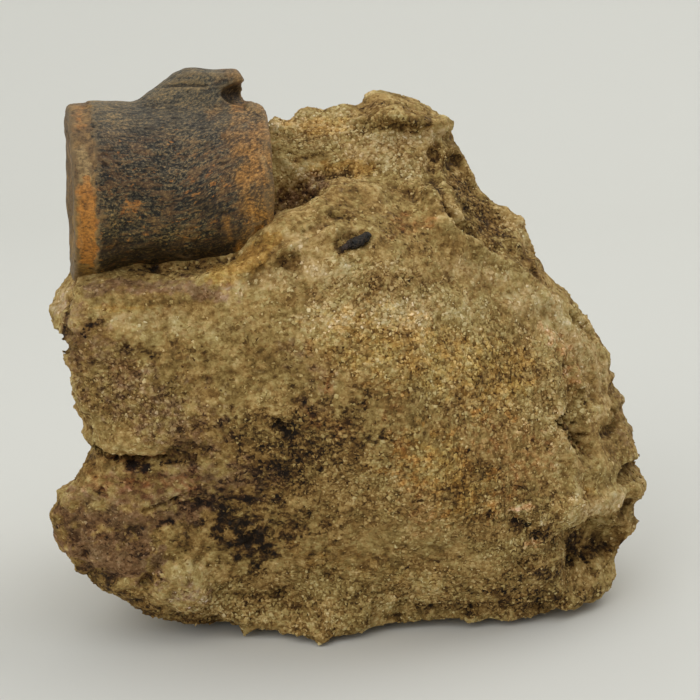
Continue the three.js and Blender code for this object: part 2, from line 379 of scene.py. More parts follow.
# paths that two of the tables below go along, in mm
shared = {
    "lobeNick": [(-54.5, -38.7, 35), (-52.5, -38.7, 34.2)],
    "lobeCrack": [(-43.3, -40, 29.8), (-39, -40.4, 31.2), (-34.3, -41, 33.8)],
    "lowPit": [(33, -35, 26), (38, -33, 22.6)],
    "crestPit": [(-5, -29.6, 89.2), (-1.5, -28.6, 88.8)],
    "shoulderCrack": [(47, -8.5, 64), (49, -8, 61.5), (53, -5.5, 57.5)],
    "upperPinkSpot": [(32, -34, 29.4), (35.5, -34, 30)],
    "lowerPinkSpot": [(35.6, -33.5, 21.6), (37.4, -33, 21.6)],
    "backParting": [(-12, 42, 56), (4, 43, 57), (16, 42, 60)],
    "backScar": [(24, 42, 40), (34, 36, 34)],
    "backSwelling": [(-40, 30, 66), (0, 42, 63), (40, 30, 64)],
}

rockShape = {
    "coreVoxel": 1.1, "rounding": 3,  # the first wrap melts the facets away
    "skinVoxel": 0.8, "skinRounding": 1,
    # rock is kept behind and under the bone only
    "fillingCut": (-40, -14, 88), "fillingFace": (-0.15, -0.45, 0.88),
    # rock that would show through the bone, or lies this close to it, is pushed so far inside it,
    # before and after the small marks are cut
    "touchesBone": 0.2, "sinkUnderBone": 1.6, "sinkAgain": 0.96,
    # the relief dies away over this distance from the bone, to this share
    "calmNearBone": 5, "leastRelief": 0.15,
    # texture, size in mm, height in mm
    "relief": [
        ("CLOUDS", 13, 1.6, {"noise_depth": 2, "noise_type": "HARD_NOISE"}),
        ("CLOUDS", 5, 0.8, {"noise_depth": 2, "noise_type": "HARD_NOISE"}),
        ("CLOUDS", 2.2, 0.45, {"noise_depth": 1}),
        ("CLOUDS", 1.0, 0.32, {"noise_depth": 0}),
    ],
    # spacing in mm, slope, seed, and how strong the chips are where the block is only worn
    "coreChips": [(9, 0.12, 11, 0.15), (5, 0.14, 12, 0.12)],
    "skinChips": [(2.6, 0.12, 13, 0.15)],
    "flatChips": 1.5,  # how much wider than tall they are
    "chipDepth": (-1.0, 0.45),  # mm, how far the chips go in and out
    # the slope of the worn beds, and the waves in them: size, height and shift
    "bedSlope": 0.12, "bedWaves": [(11, 1.8, 0), (3.5, 0.5, 3)],
}

# where the block is broken: path, reach in mm, how strongly
rockShape["broken"] = [
    ([(-61, -25, 70), (-58, -30, 50), (-58, -30, 20), (-48, -30, 8)], (8, 30, 12), 1),
    ([(-40, -34, 3), (0, -33, 2), (40, -24, 3)], (14, 16, 7), 0.9),
    ([(50, -18, 12), (60, -8, 18)], (9, 14, 8), 1),
    ([(62, -4, 28), (60, -4, 42)], (5, 14, 9), 0.8),
    ([(56, 8, 50), (52, 8, 66)], (9, 20, 14), 0.5),
    ([(22, -6, 97), (28, -8, 88), (37, -8, 78)], (8, 14, 8), 0.6),
    ([(-17, -6, 97), (-4, -6, 101), (8, -3, 107)], (8, 10, 8), 0.9),
    ([(-28, -38, 79), (-14, -37, 82), (-4, -30, 89)], (5, 6, 4), 0.6),
    ([(-48, -38, 43), (-36, -42, 43)], (10, 10, 4), 0.7),
    ([(44, -22, 44), (48, -18, 48)], (6, 10, 12), 0.6),
    ([(-50, 30, 30), (-20, 40, 28), (10, 43, 34)], (24, 22, 16), 0.5),
    ([(-30, 30, 84), (20, 30, 84)], (20, 22, 12), 0.4),
]

# path, reach, push in mm, softness of the edge
rockShape["forms"] = [
    # the hollow between the crest and the back wall, and the crest that overhangs it
    ([(-17, -14, 89), (-10, -11.5, 92), (-4, -10.5, 95)], (5, 5, 3.5), (0, 1.4, -1.2), 0.7),
    ([(-22, -32, 85), (-14, -28, 88.5), (-8, -20, 91.5), (-4, -14.5, 94)], (4, 5, 2.2), (0, 0.4, 1), 0.5),
    # lumps on the crest, with creases between them
    ([(-13, -31, 88), (-8, -27, 90)], (4, 5, 3), 0.9, 0.6),
    ([(-2, -22, 93), (3, -20, 93)], (5, 5, 3), 0.8, 0.6),
    ([(-16, -35, 84.5), (-9, -33, 87), (-4, -28, 90)], (1.2, 5, 1.3), -1.2, 0.7),
    ([(-20, -37, 79), (-12, -37.5, 81), (-6, -36, 83)], (1.4, 5, 1.1), -0.9, 0.7),
    # the shelf under the bone, and the right end of the cap
    ([(-40, -28.5, 80), (-34, -28, 81.2), (-26, -28.7, 82.6)], (4.5, 4.5, 3), (0, 0.6, -1.9), 0.6),
    ([(19, -1, 104.5)], (4, 8, 3), (2, 0, 0.8), 0.5),
    # the thin flap at the end of the crest
    ([(12, -12.5, 93.4), (16.4, -15.5, 90.5), (18.4, -20.5, 86)], (2, 4, 2), (0.8, -0.4, 1.2), 0.4),
    ([(10, -15, 92.5), (13.5, -19, 89.5), (15.6, -23, 85.6)], (0.9, 3, 1), (0, 0.6, -1.1), 0.6),
    # the fresh face behind it, set back, creases down the side of the pillar, a lump on the back wall
    ([(23, -6, 96), (27, -8, 88), (35, -9, 80)], (6, 9, 6), (0, 4, -0.6), 0.35),
    ([(17.4, -14, 90.5), (19.5, -17, 87.5), (24, -17, 84.5), (32, -15, 80), (40, -12, 75)],
     (1.9, 4, 1.6), -2.8, 0.35),
    ([(16.4, -9.6, 95.5), (16.8, -12.4, 92.4)], (1.3, 4, 2.4), (0, 1.8, 0), 0.5),
    ([(-3, -10.5, 96)], (3.4, 4, 2.4), 1.1, 0.7),
    ([(15, -14, 91.5), (18, -21.5, 85), (25, -20, 81.5), (31, -19, 78.5), (38, -16, 74.5)],
     (3, 3, 2), (0, -1, 1.2), 0.5),
    ([(17, -4.5, 101), (16.2, -6, 98), (16, -8, 96)], (1.3, 5, 2), (0.4, 3, 0), 0.5),
    # the fin along the right of that face
    ([(31.5, -1, 87.5), (34.5, -3.5, 84.5), (37.5, -5, 81.5), (40, -8, 77)],
     (2.2, 6, 2.2), (0, -0.9, 0), 0.4),
    ([(27, 0, 91), (31, 1, 89)], (3, 9, 2.2), (-0.2, 0, -0.8), 0.5),
    # the cap stands proud, with a deep undercut, and a thin right end
    ([(3, -4, 107), (9, -5.5, 107.3), (15, -4, 105.5), (19, -2, 103.7)],
     (4.5, 6, 2.6), (0, -1.5, 0.2), 0.35),
    ([(3.5, -4.5, 105), (8, -6.8, 104.6), (14, -5.5, 103.8)], (1.6, 5, 0.9), (0, 1.2, 0.4), 0.5),
    ([(15, -4, 102.6), (20, -1, 101.6)], (2, 4, 0.9), (0, 2, 0), 0.5),
    ([(2.4, -7, 99), (8, -8.5, 98.5), (13, -9, 97)], (5, 5, 4.5), (0, -0.8, 0), 0.6),
    # the light lump over the hollow at the lower right
    ([(45, -29, 26), (51.5, -24, 24.6), (57, -18, 25)], (6, 6, 4), (0.5, -1.8, 0), 0.5),
    ([(43, -29, 18.6), (50, -22, 18.6), (56, -19, 19.4), (60, -14, 20.4)],
     (3, 6, 1.8), (-0.8, 3.4, 0.3), 0.4),
    ([(49, -19.5, 14), (54, -16.5, 14)], (6, 8, 6), (-1, 2.8, 0), 0.5),
    ([(36, -32, 15.5), (43, -29, 17)], (5, 5, 1.6), (0, 1.6, 0), 0.6),
    # the ridge down the right of the display face, and the trough beside it
    ([(41.4, -20.8, 54.5), (43.4, -21.7, 48.8), (42.7, -24.9, 44.2), (45.9, -25.3, 37.1),
      (46.7, -27.5, 28)], (2.2, 6, 2.2), (0.3, -1.6, 0.3), 0.6),
    ([(46.5, -17.5, 55), (47.5, -18, 49), (46.5, -21.5, 43), (49.5, -21, 36)], (2.6, 6, 3), -2.2, 0.6),
    # knobs and notches down the right edge
    ([(61.5, -7, 33)], (5, 9, 3.8), (-0.4, -0.8, 0), 0.35),
    ([(61, -9, 28.4)], (6, 14, 1.9), (-4.4, 0.4, 0), 0.35),
    ([(63, -8, 23.2)], (4, 10, 2.8), (1.3, -0.8, 0), 0.3),
    ([(58, -12, 38.2)], (5, 10, 1.7), (-2.4, 1, 0), 0.4),
    ([(61, -9, 19)], (4, 12, 1.3), (-1, 0, 0), 0.4),
    ([(60, -10, 14.4)], (5, 12, 3), (1.8, 0, 0), 0.5),
    ([(59, -6, 9.4)], (4, 12, 3), (-0.8, 0, 0), 0.4),
    # flakes and hollows down the right shoulder
    ([(41, -15, 70), (46, -12, 63), (51, -9, 56.5), (54, -9, 50)], (2.6, 5, 2.2), (-0.2, -0.9, 0), 0.35),
    ([(42, -3, 75), (44, -2, 71)], (4, 16, 4), (-1.6, 0, 0), 0.8),
    ([(57, -3, 53)], (4, 12, 4), (1, 0, 0.3), 0.8),
    ([(58, -3, 46)], (4, 12, 2.6), (-1, 0, 0), 0.8),
    ([(41.5, -16, 66), (45.5, -13, 60), (50, -10, 53), (52, -10, 46)], (2, 5, 1.8), -1.1, 0.5),
    ([(54, -14, 44), (56, -11, 41)], (3, 6, 3), 0.9, 0.4),
    ([(51, -17, 33), (56, -14, 31)], (4, 6, 2.5), 0.8, 0.5),
    # the broken left end: a shelf, a step back, a shelf
    ([(-60, -30, 58), (-57, -32, 48)], (4, 16, 6), (1.1, 0, 0), 0.8),
    ([(-62.5, -30, 62.6)], (4, 16, 2.8), (3.8, 0.2, 0), 0.6),
    ([(-62, -30, 33), (-63, -30, 31)], (4, 16, 4), (0.5, 0, 0), 0.9),
    ([(-61, -30, 21), (-57, -30, 15)], (4, 16, 4), (-0.3, 0, 0), 0.9),
    ([(-58.5, -34, 57.6)], (3.5, 14, 1.5), (2, 0.6, 0), 0.5),
    ([(-55, -35, 46)], (3, 16, 1.4), (1.4, 0.6, 0), 0.5),
    # the cleft that parts the nodule from the block
    ([(-59.3, -27, 79), (-58.4, -33, 73), (-58.8, -33, 67)], (1.3, 6, 3), (0.4, 3.6, 0), 0.4),
    ([(-62.5, -25, 74), (-62.5, -26, 69)], (2.8, 6, 3.6), (-1.2, -1, 0), 0.6),
    # the parting between the block and the low lobe, with the block's lip over it
    ([(-50, -39, 45), (-42, -41, 45.5), (-34, -43, 46)], (5, 6, 2.4), (0, -0.9, -0.4), 0.8),
    ([(-56, -33, 41), (-48, -37, 40.6), (-43, -39, 41.2), (-38, -41.5, 41.5), (-31.5, -42.5, 43)],
     (3, 5, 1.1), (0, 2.6, 0), 0.5),
    # the lobe: a broad crease along its clay band, and the smooth patch below it standing a little proud
    ([(-60, -37, 27), (-50, -39.5, 25), (-40, -41, 27), (-31, -41, 32)], (3, 5, 1.5), -1, 0.7),
    ([(-44.5, -40.4, 12), (-41.5, -41, 18.5), (-34, -41, 21.5), (-30, -40, 17), (-28, -38, 9)],
     (1.3, 5, 1.3), -1, 0.7),
    ([(-40, -41, 13), (-34, -40, 15), (-34, -38, 8)], (5, 6, 4.5), (0, -0.9, 0), 0.6),
    # the crest, and small hollows under it
    ([(-25, -36.5, 79.5), (-17, -36, 82.5), (-10, -34, 86), (-5, -31, 88)],
     (3, 4, 1.8), (0, -0.9, 0.8), 0.8),
    ([(-15.6, -35.5, 81.6)], (2, 4, 1), -1.1, 0.6),
    ([(-27, -37, 76.5), (-19, -38.5, 77.5)], (5, 5, 1.5), -0.9, 0.7),
    # the bottom edge is bitten back
    ([(-28.5, -33, 3)], (4, 8, 3), (0.5, 1.8, 0.4), 0.6),
    ([(24, -32, 3)], (6, 8, 2.2), (0, 1.2, 0.3), 0.6),
    ([(-24, -33, 4), (-9, -35, 3)], (8, 9, 5), (0, -3, -2.4), 0.8),
    ([(48, -20, 3.5), (55, -13, 4.5)], (6, 8, 4), (0.6, -2.6, -1.8), 0.6),
    # the back: a short parting along the bedding, a scar where a slab came away, a swelling over it
    (shared["backParting"], (6, 12, 2.4), -1, 0.9),
    (shared["backSwelling"], (14, 14, 7), 1.1, 0.8),
    (shared["backScar"], (17, 14, 13), -2.6, 0.3),
    ([(-26, 36, 82), (-8, 34, 90)], (18, 14, 10), 1.4, 0.7),
    ([(8, 36, 92), (14, 38, 78), (12, 43, 64)], (1.6, 12, 5), -1.6, 0.5),
    # the back of the top left, with a bump and two nicks
    ([(-11, 0, 108)], (2.4, 7, 2), (0, 0, 0.5), 0.5),
    ([(-17.5, -1, 104)], (3.4, 9, 3), (-0.9, 0, 1.2), 0.6),
    ([(-7.2, 2, 108.6)], (1, 9, 1.4), (0, 0, -1.1), 0.5),
    ([(-15, 0, 106.4)], (1.2, 9, 1.4), (0, 0, -0.8), 0.5),
]

# small marks, cut into the finished skin in the same way
rockShape["marks"] = [
    # the open slots of the parting
    ([(-53, -36, 42.4), (-49, -37.5, 40.9), (-44.5, -38.5, 40.4), (-40, -40.5, 41.2)],
     (1.6, 5, 0.55), (0, 2.6, 0), 0.6),
    ([(-46, -38.3, 40.3), (-43.6, -39.3, 40.5)], (1.3, 5, 0.9), (0, 2.4, 0), 0.6),
    ([(-40, -40.8, 41.3), (-35, -42, 41.6)], (1.4, 4, 0.5), -1.4, 0.6),
    ([(-33, -42.4, 42)], (1.3, 4, 1.1), -1.8, 0.6),
    # pits
    ([(-16.2, -43, 50), (-14, -43, 48.4)], (1.4, 4, 0.9), -1.7, 0.7),
    ([(-53, -39, 69.7)], (1.1, 4, 1.4), -0.9, 0.9),
    ([(-46.2, -40, 64.6)], (1.2, 4, 0.9), -0.6, 0.9),
    ([(-43.4, -40, 64.9), (-41, -40, 64.2)], (1.3, 4, 1), -0.7, 0.9),
    ([(-22, -39, 23.7)], (2.4, 4, 2.8), -1, 0.9),
    ([(58, -9.3, 41)], (2.4, 5, 1.7), -2.2, 0.5),
    (shared["lowPit"], (2.4, 4, 1.8), -1.1, 0.8),
    (shared["crestPit"], (0.8, 3, 0.5), -0.8, 0.8),
    ([(-10.4, -33.5, 86.6)], (0.8, 3, 0.6), -0.8, 0.8),
    (shared["lobeNick"], (1.1, 4, 0.6), -0.9, 0.6),
    # the deep slots beside the right ridge
    ([(43.8, -23.5, 44.4), (46, -23.2, 41.6), (47.6, -22.6, 38.6)], (2, 5, 1.9), (-0.8, 3.2, 0), 0.5),
    ([(47.2, -17.3, 49.8), (48.6, -17, 47.6), (49.6, -16.7, 45.8)], (0.9, 4, 1), (-0.5, 1.8, 0), 0.6),
    # cracks in the lobe, above the smooth patch and across the right shoulder
    (shared["lobeCrack"], (0.9, 4, 0.7), -0.9, 0.6),
    ([(-44.5, -40.4, 13.4), (-43.4, -40.8, 15), (-41.2, -41.2, 17.8)], (0.8, 4, 0.8), -1.1, 0.6),
    (shared["shoulderCrack"], (0.9, 4, 0.8), -1.2, 0.6),
    # the pit at the left end of the bone chip
    ([(-3.7, -35.5, 84.6)], (1.7, 4, 1.7), (0.4, 1.9, 0), 0.6),
]

# where the worn beds show: path, reach, spacing and depth in mm
rockShape["layers"] = [
    ([(-62, -25, 75), (-60, -25, 45), (-62, -25, 12)], (13, 60, 14), 4.2, 0.9),
    ([(10, -32, 5), (45, -22, 9), (60, -5, 20)], (14, 20, 7), 3.1, 0.8),
    ([(62, 0, 45), (58, 5, 70)], (9, 60, 20), 4.6, 0.7),
    ([(-14, -9, 97), (-4, -9, 99)], (12, 8, 8), 2.4, 0.6),
    ([(-40, 36, 28), (0, 44, 44), (30, 36, 70)], (34, 24, 26), 9, 1.7),
    ([(50, 20, 20), (54, 10, 40)], (16, 24, 20), 7, 1.1),
]


def roughen(piece, kind, size, height, settings, group=""):
    texture = bpy.data.textures.new(piece.name + kind.title(), kind)
    texture.noise_scale = size * mm
    for name, value in settings.items():
        setattr(texture, name, value)
    modify(piece, "DISPLACE", texture=texture, strength=height * mm, mid_level=0.5,
           texture_coords="LOCAL", vertex_group=group)
    bpy.data.textures.remove(texture)


def surfaceOf(node):
    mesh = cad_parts[node].data
    return BVHTree.FromPolygons([v.co / mm for v in mesh.vertices], [face.vertices for face in mesh.polygons])


vertebraSurface = surfaceOf("vertebra")


def heightOverBone(points, reach):
    # distance of each point outside the vertebra, negative inside, with the vertebra's facing there
    height, facing = np.full(len(points), float(reach)), np.zeros((len(points), 3))
    for index, point in enumerate(points):
        spot, normal, _, _ = vertebraSurface.find_nearest(Vector(point), reach)
        if spot:
            height[index] = (Vector(point) - spot).dot(normal)
            facing[index] = normal
    return height, facing


def sinkUnderBone(rock, depth):
    points = places(rock)
    height, facing = heightOverBone(points, depth)
    shallow = (height > -depth) & (height < rockShape["touchesBone"])
    points[shallow] -= facing[shallow] * (depth + height[shallow])[:, None]
    moveTo(rock, points)


def calmNearBone(points):
    # 0 at the bone, 1 where the rock is clear of it
    distance = rockShape["calmNearBone"]
    return heightOverBone(points, distance)[0] / distance


def facets(points, spacing, slope, seed):
    # height of a broken surface: every chip of it is a small plane of its own tilt
    draw = np.random.default_rng(seed)
    scaled = points * np.array((1, 1, rockShape["flatChips"]))
    low, high = scaled.min(0) - spacing, scaled.max(0) + spacing
    middles = draw.uniform(low, high, (int(np.prod((high - low) / spacing)), 3))
    tilts = draw.normal(size=middles.shape) * slope
    tree = KDTree(len(middles))
    for index, middle in enumerate(middles):
        tree.insert(Vector(middle), index)
    tree.balance()
    nearest = np.array([tree.find(Vector(point))[1] for point in scaled])
    return ((scaled - middles[nearest]) * tilts[nearest]).sum(1)


def breakUp(piece, chips):
    # chips and flakes where the block is broken, faint ones where it is worn
    points, facing = places(piece), normals(piece)
    rough = paint(points, {"broken": rockShape["broken"]})["broken"]
    lift = np.zeros(len(points))
    for spacing, slope, seed, everywhere in chips:
        lift += facets(points, spacing, slope, seed) * (everywhere + rough * (1 - everywhere))
    lift = np.clip(lift, *rockShape["chipDepth"]) * np.clip(calmNearBone(points), 0, 1)
    moveTo(piece, points + facing * lift[:, None])


def breakInLayers(piece):
    # each bed stands out more and more over four fifths of its height, and falls back to the next
    points, level = places(piece), normals(piece)
    wave = sum(noiseField(points, size, shift=shift) * height
               for size, height, shift in rockShape["bedWaves"])
    level[:, 2] = 0
    for path, reach, spacing, depth in rockShape["layers"]:
        bed = (points[:, 2] + points[:, 0] * rockShape["bedSlope"] + wave) / spacing
        share = bed - np.floor(bed)
        profile = np.minimum(share / 0.8, (1 - share) / 0.2) - 0.6
        points = points + level * (profile * depth * brush(points, path, reach))[:, None]
    moveTo(piece, points)


def makeRock():
    rock = copyNode("sandstone_matrix", "rock")
    filling = copyNode("vertebra", "filling")
    editAll(bpy.ops.mesh.bisect, plane_co=Vector(rockShape["fillingCut"]) * mm,
            plane_no=rockShape["fillingFace"], use_fill=True, clear_outer=True)
    pick(rock)
    filling.select_set(True)
    bpy.ops.object.join()
    wrap(rock, rockShape["coreVoxel"])
    soften(rock, rockShape["rounding"])
    sculpt(rock, rockShape["forms"])
    breakInLayers(rock)
    breakUp(rock, rockShape["coreChips"])
    wrap(rock, rockShape["skinVoxel"])
    breakUp(rock, rockShape["skinChips"])
    soften(rock, rockShape["skinRounding"])
    sinkUnderBone(rock, rockShape["sinkUnderBone"])
    group = rock.vertex_groups.new(name="open")
    for index, weight in enumerate(np.clip(calmNearBone(places(rock)), rockShape["leastRelief"], 1)):
        group.add([index], float(weight), "REPLACE")
    for kind, size, tall, settings in rockShape["relief"]:
        roughen(rock, kind, size, tall, settings, "open")
    sculpt(rock, rockShape["marks"], uneven=1.3, amount=0.7)
    sinkUnderBone(rock, rockShape["sinkAgain"])
    return rock


# what is painted on the rock: stains, painted shade in its pits, creases and undercuts, and painted light on
# some upward faces; path, reach in mm and strength
rockPaint = {}
rockPaint["dark"] = [
    # broad zones
    ([(-20, -41, 40), (-10, -42, 46), (-4, -42, 50)], (14, 12, 12), 0.76),
    ([(-18, -42, 47), (-9, -42, 43)], (6, 12, 5), 0.8),
    ([(-30, -40, 32), (-20, -39, 30), (-14, -39, 26)], (11, 12, 11), 0.78),
    ([(-27, -39, 29), (-22, -39, 22)], (9, 12, 8), 1.15),
    ([(20, -37, 38), (34, -31, 30)], (10, 12, 9), 0.34),
    ([(-4, -40, 30), (6, -40, 30)], (10, 12, 8), 0.3),
    ([(32, -32, 24), (28, -34, 28)], (6, 12, 4), 0.5),
    ([(24, -36, 26), (36, -30, 20), (30, -34, 34)], (14, 12, 10), 0.16),
    ([(-58, -37, 26), (-46, -39, 21), (-36, -40, 28)], (10, 12, 10), 0.46),
    ([(-58, -36, 40), (-40, -40, 38), (-30, -41, 44)], (12, 12, 6), 0.38),
    ([(-50, -38, 56), (-34, -41, 56), (-24, -42, 64)], (12, 12, 6), 0.3),
    ([(22, -7, 93), (24, -8, 90), (31, -9, 83)], (5, 12, 5), 0.62),
    ([(33, -10, 80), (38, -10, 76)], (4, 12, 4), 0.5),
    ([(-4, -26, 89), (6, -24, 87), (12, -25, 84)], (8, 10, 5), 0.5),
    # painted shade on the shelf under the bone
    ([(-42, -30, 79), (-26, -30, 80.5)], (10, 8, 2.5), 0.65),
    # painted shadow where the rock meets the bone's right lip
    ([(-17, -20, 88), (-18, -28, 86)], (2.5, 6, 3), 0.7),
    ([(-26, -41, 70), (-14, -41, 67)], (8, 10, 4), 0.4),
    ([(-30, -41, 51), (-20, -42, 51)], (7, 10, 4), 0.6),
    # small stains, and painted shade in pits, slots, cracks, creases, hollows and under overhangs
    ([(-46.4, -40, 64.6)], (1.8, 8, 1.5), 0.9),
    ([(-43.4, -40, 65), (-40.5, -40, 64)], (1.8, 8, 1.6), 0.9),
    ([(-54.5, -39, 68.8), (-51.5, -39, 70.6)], (1.4, 6, 1.2), 0.95),
    ([(-47, -37.5, 40.2), (-43.5, -39, 40.5)], (1.8, 8, 0.9), 1.1),
    ([(-53, -35, 42.4), (-49, -37, 41), (-44.5, -39, 40.4), (-39, -41.3, 41.3), (-33, -42.5, 41.8)],
     (2, 8, 0.6), 0.95),
    ([(-33, -42.4, 42)], (1.7, 6, 1.3), 1.1),
    ([(-16.4, -43, 50.2), (-14, -43, 48.4)], (1.9, 6, 1.4), 1.1),
    ([(-26, -42, 45), (-17, -42, 49)], (7, 12, 3), 0.6),
    ([(-28, -40, 30), (-22, -39, 31)], (3, 12, 1.4), 0.8),
    ([(-41, -40, 28), (-38.5, -40, 28.3)], (1.5, 6, 0.8), 1.05),
    ([(-45.5, -40.7, 21.6)], (2.4, 8, 2.2), 0.8),
    (shared["lobeCrack"], (1.3, 6, 0.6), 0.9),
    ([(-44.5, -40.4, 13.4), (-41.2, -41.2, 17.8)], (0.9, 6, 0.7), 0.9),
    (shared["lobeNick"], (1.2, 5, 0.7), 0.9),
    ([(48, -19, 15), (54, -15, 12)], (7, 10, 5), 0.82),
    ([(48, -20, 18), (57, -16, 18.6)], (5, 8, 1.6), 0.4),
    ([(36, -32, 14), (42, -29, 14.5)], (5, 8, 1.4), 0.6),
    ([(20, -34, 5), (34, -31, 6), (50, -20, 5)], (10, 10, 4), 0.75),
    ([(16.7, -37, 20.5)], (2, 6, 1.2), 0.5),
    ([(17, -8, 101), (16, -9, 97)], (1.3, 8, 2), 0.5),
    ([(24, -14, 86), (29, -14, 82)], (4, 6, 2.4), 0.6),
    ([(43.8, -23.5, 44.4), (47.6, -22.6, 38.6)], (2, 6, 1.6), 1),
    ([(47.2, -17.3, 49.8), (49.6, -16.7, 45.8)], (1.1, 6, 0.9), 0.9),
    ([(58, -9.3, 41)], (2.6, 6, 1.8), 1),
    ([(58, -10, 36), (60, -8, 32), (62, -6, 27)], (4, 8, 4), 0.35),
    (shared["shoulderCrack"], (1.1, 6, 0.7), 0.7),
    ([(4, -5, 105), (8, -7, 104.8), (12, -6, 104.2)], (2, 5, 0.8), 0.7),
    ([(-13, -9, 98.5), (-9, -8, 99.5)], (3.4, 6, 1.2), 0.7),
    ([(-18, -13, 90), (-16, -14, 87)], (2, 8, 3), 0.4),
    ([(-3.7, -35.5, 84.6)], (1.6, 5, 1.6), 1),
    ([(-15.6, -35, 81.5)], (1.8, 4, 0.9), 0.65),
    (shared["crestPit"], (0.9, 4, 0.6), 0.6),
    (shared["lowPit"], (3.4, 6, 2.4), 0.95),
    ([(38, -30, 14.5), (42, -28, 12)], (3.6, 8, 2), 0.85),
    ([(28, -33, 10), (36, -31, 9)], (6, 8, 1.6), 0.8),
    ([(4, -36, 78), (14, -34, 77)], (9, 8, 3), 0.62),
    ([(-36, -41, 67), (-31, -41, 64)], (5, 8, 3), 0.55),
    ([(-58, -37, 18), (-50, -37, 13), (-44, -36, 7), (-34, -35, 3)], (6, 10, 4), 0.6),
    ([(-59.5, -28, 79), (-58.8, -34, 72), (-59.5, -33, 67)], (1.2, 6, 2), 0.8),
    ([(-58, -37, 64)], (3, 8, 3), 0.35),
    ([(-6, -35, 3), (4, -34, 6)], (6, 8, 3), 0.3),
    ([(10, -42, 46), (4, -42, 43), (12, -41, 40)], (4, 8, 3), 0.3),
    ([(-50, 20, 6), (0, 38, 8), (48, 16, 8)], (20, 20, 12), 0.6),
    (shared["backParting"], (8, 14, 3), 0.45),
    ([(-48, 28, 36), (-20, 40, 30)], (14, 14, 6), 0.5),
    (shared["backScar"], (14, 14, 11), 0.4),
    ([(2, -2, 108.4), (9, -4, 106.6), (14, -3, 107)], (5, 10, 2.6), 0.6),
    ([(16, -9, 97), (17, -13, 91.5), (17.6, -15.4, 89)], (1.5, 6, 2.6), 0.85),
]
rockPaint["ochre"] = [
    ([(-30, 36, 46), (0, 42, 46)], (24, 16, 9), 0.5),
    ([(-28, -36, 79), (-22, -35, 82), (-18, -32, 85.5)], (4.5, 10, 2.6), 1),
    ([(-8, -9, 97.5), (0, -9, 97)], (5, 8, 2.4), 0.75),
    ([(-2, -38, 68), (16, -36, 62), (30, -28, 56)], (14, 20, 12), 0.55),
    ([(14, -42, 44), (22, -38, 34)], (14, 20, 10), 0.55),
    ([(-10, -38, 20), (14, -36, 14)], (12, 12, 7), 0.35),
    ([(-12, -3, 105), (-5, -2, 106)], (7, 8, 3), 0.6),
    ([(-50, -39, 73), (-44, -39, 73)], (6, 8, 1.6), 0.55),
    ([(-53, -39.6, 25.4)], (1, 5, 0.7), 1.1),
    ([(-55, -38, 60), (-48, -40, 62)], (5, 8, 4), 0.4),
    ([(49, -22, 30)], (2.5, 6, 3), 0.8),
    ([(-46, -40, 38), (-36, -41, 37)], (6, 8, 2.5), 0.5),
]
rockPaint["pale"] = [  # clean sand, and painted light on some upward faces
    ([(-6, -39, 78), (10, -36, 77), (24, -30, 70)], (14, 12, 8), 0.5),
    ([(2, -40, 66), (16, -38, 60)], (12, 14, 8), 0.25),
    ([(36, -20, 70), (44, -16, 66), (50, -12, 58), (54, -10, 50)], (8, 12, 9), 0.95),
    ([(20, -27, 80), (30, -22, 74), (38, -18, 68)], (6, 8, 4), 0.8),
    ([(-8, -38, 72), (14, -36, 71)], (9, 8, 5), 1.2),
    ([(26, -30, 70)], (4, 8, 5), 1),
    ([(39, -26, 52), (41, -27, 40)], (5, 8, 6), 0.5),
    ([(36, -4, 80), (33, -2, 85)], (4, 8, 5), 0.6),
    ([(62, -8, 33), (63, -8, 27)], (4, 8, 3), 0.4),
    ([(-12, -4, 105), (-4, -2, 106)], (11, 10, 6), 0.75),
    ([(-10, -8, 97), (-2, -9, 97)], (8, 8, 4), 0.5),
    ([(-22, -36, 79), (-14, -36, 80), (-8, -34, 83)], (6, 8, 4), 0.6),
    ([(-62.5, -26, 73)], (4, 8, 6), 1.3),
    ([(-58, -34, 60), (-57, -34, 50)], (3, 8, 6), 0.4),
    ([(-46, -39.5, 71), (-39, -39, 71.5)], (6, 8, 2.7), 0.85),
    ([(-36, -40, 69), (-24, -41, 70)], (6, 8, 3), 0.5),
    ([(-24, -38, 78), (-12, -37, 79.5), (-5, -36, 80)], (6, 10, 3.4), 0.9),
    ([(-14, -34, 85), (-8, -30, 88)], (4, 8, 3), 0.7),
    ([(47, -28, 26), (52, -23, 26.5), (57, -18, 26)], (6, 8, 3.4), 0.9),
    ([(41, -21.5, 54), (43, -24, 45), (46, -26, 36), (46.5, -28, 28)], (2, 6, 2), 0.6),
    ([(-40, -41, 17), (-34, -40, 18), (-36, -40, 12)], (6, 10, 4.5), 0.45),
    ([(21.6, -31.7, 6.7)], (4.5, 6, 1.6), 0.5),
    ([(2, -6, 101), (8, -8, 99), (12, -8, 97)], (8, 8, 6), 0.8),
    ([(6, -7, 103), (12, -6, 103), (18, -3, 103)], (5, 8, 2.6), 1.1),
    (shared["upperPinkSpot"], (2.4, 5, 1), 2),
    ([(38.6, -33, 26.6)], (1.4, 5, 1.4), 1.6),
    (shared["lowerPinkSpot"], (1.5, 5, 1.2), 2),
    ([(44, -18, 60), (48, -15, 55)], (4, 8, 5), 0.35),
    ([(-20, 34, 88), (16, 34, 82)], (24, 18, 14), 0.5),
]
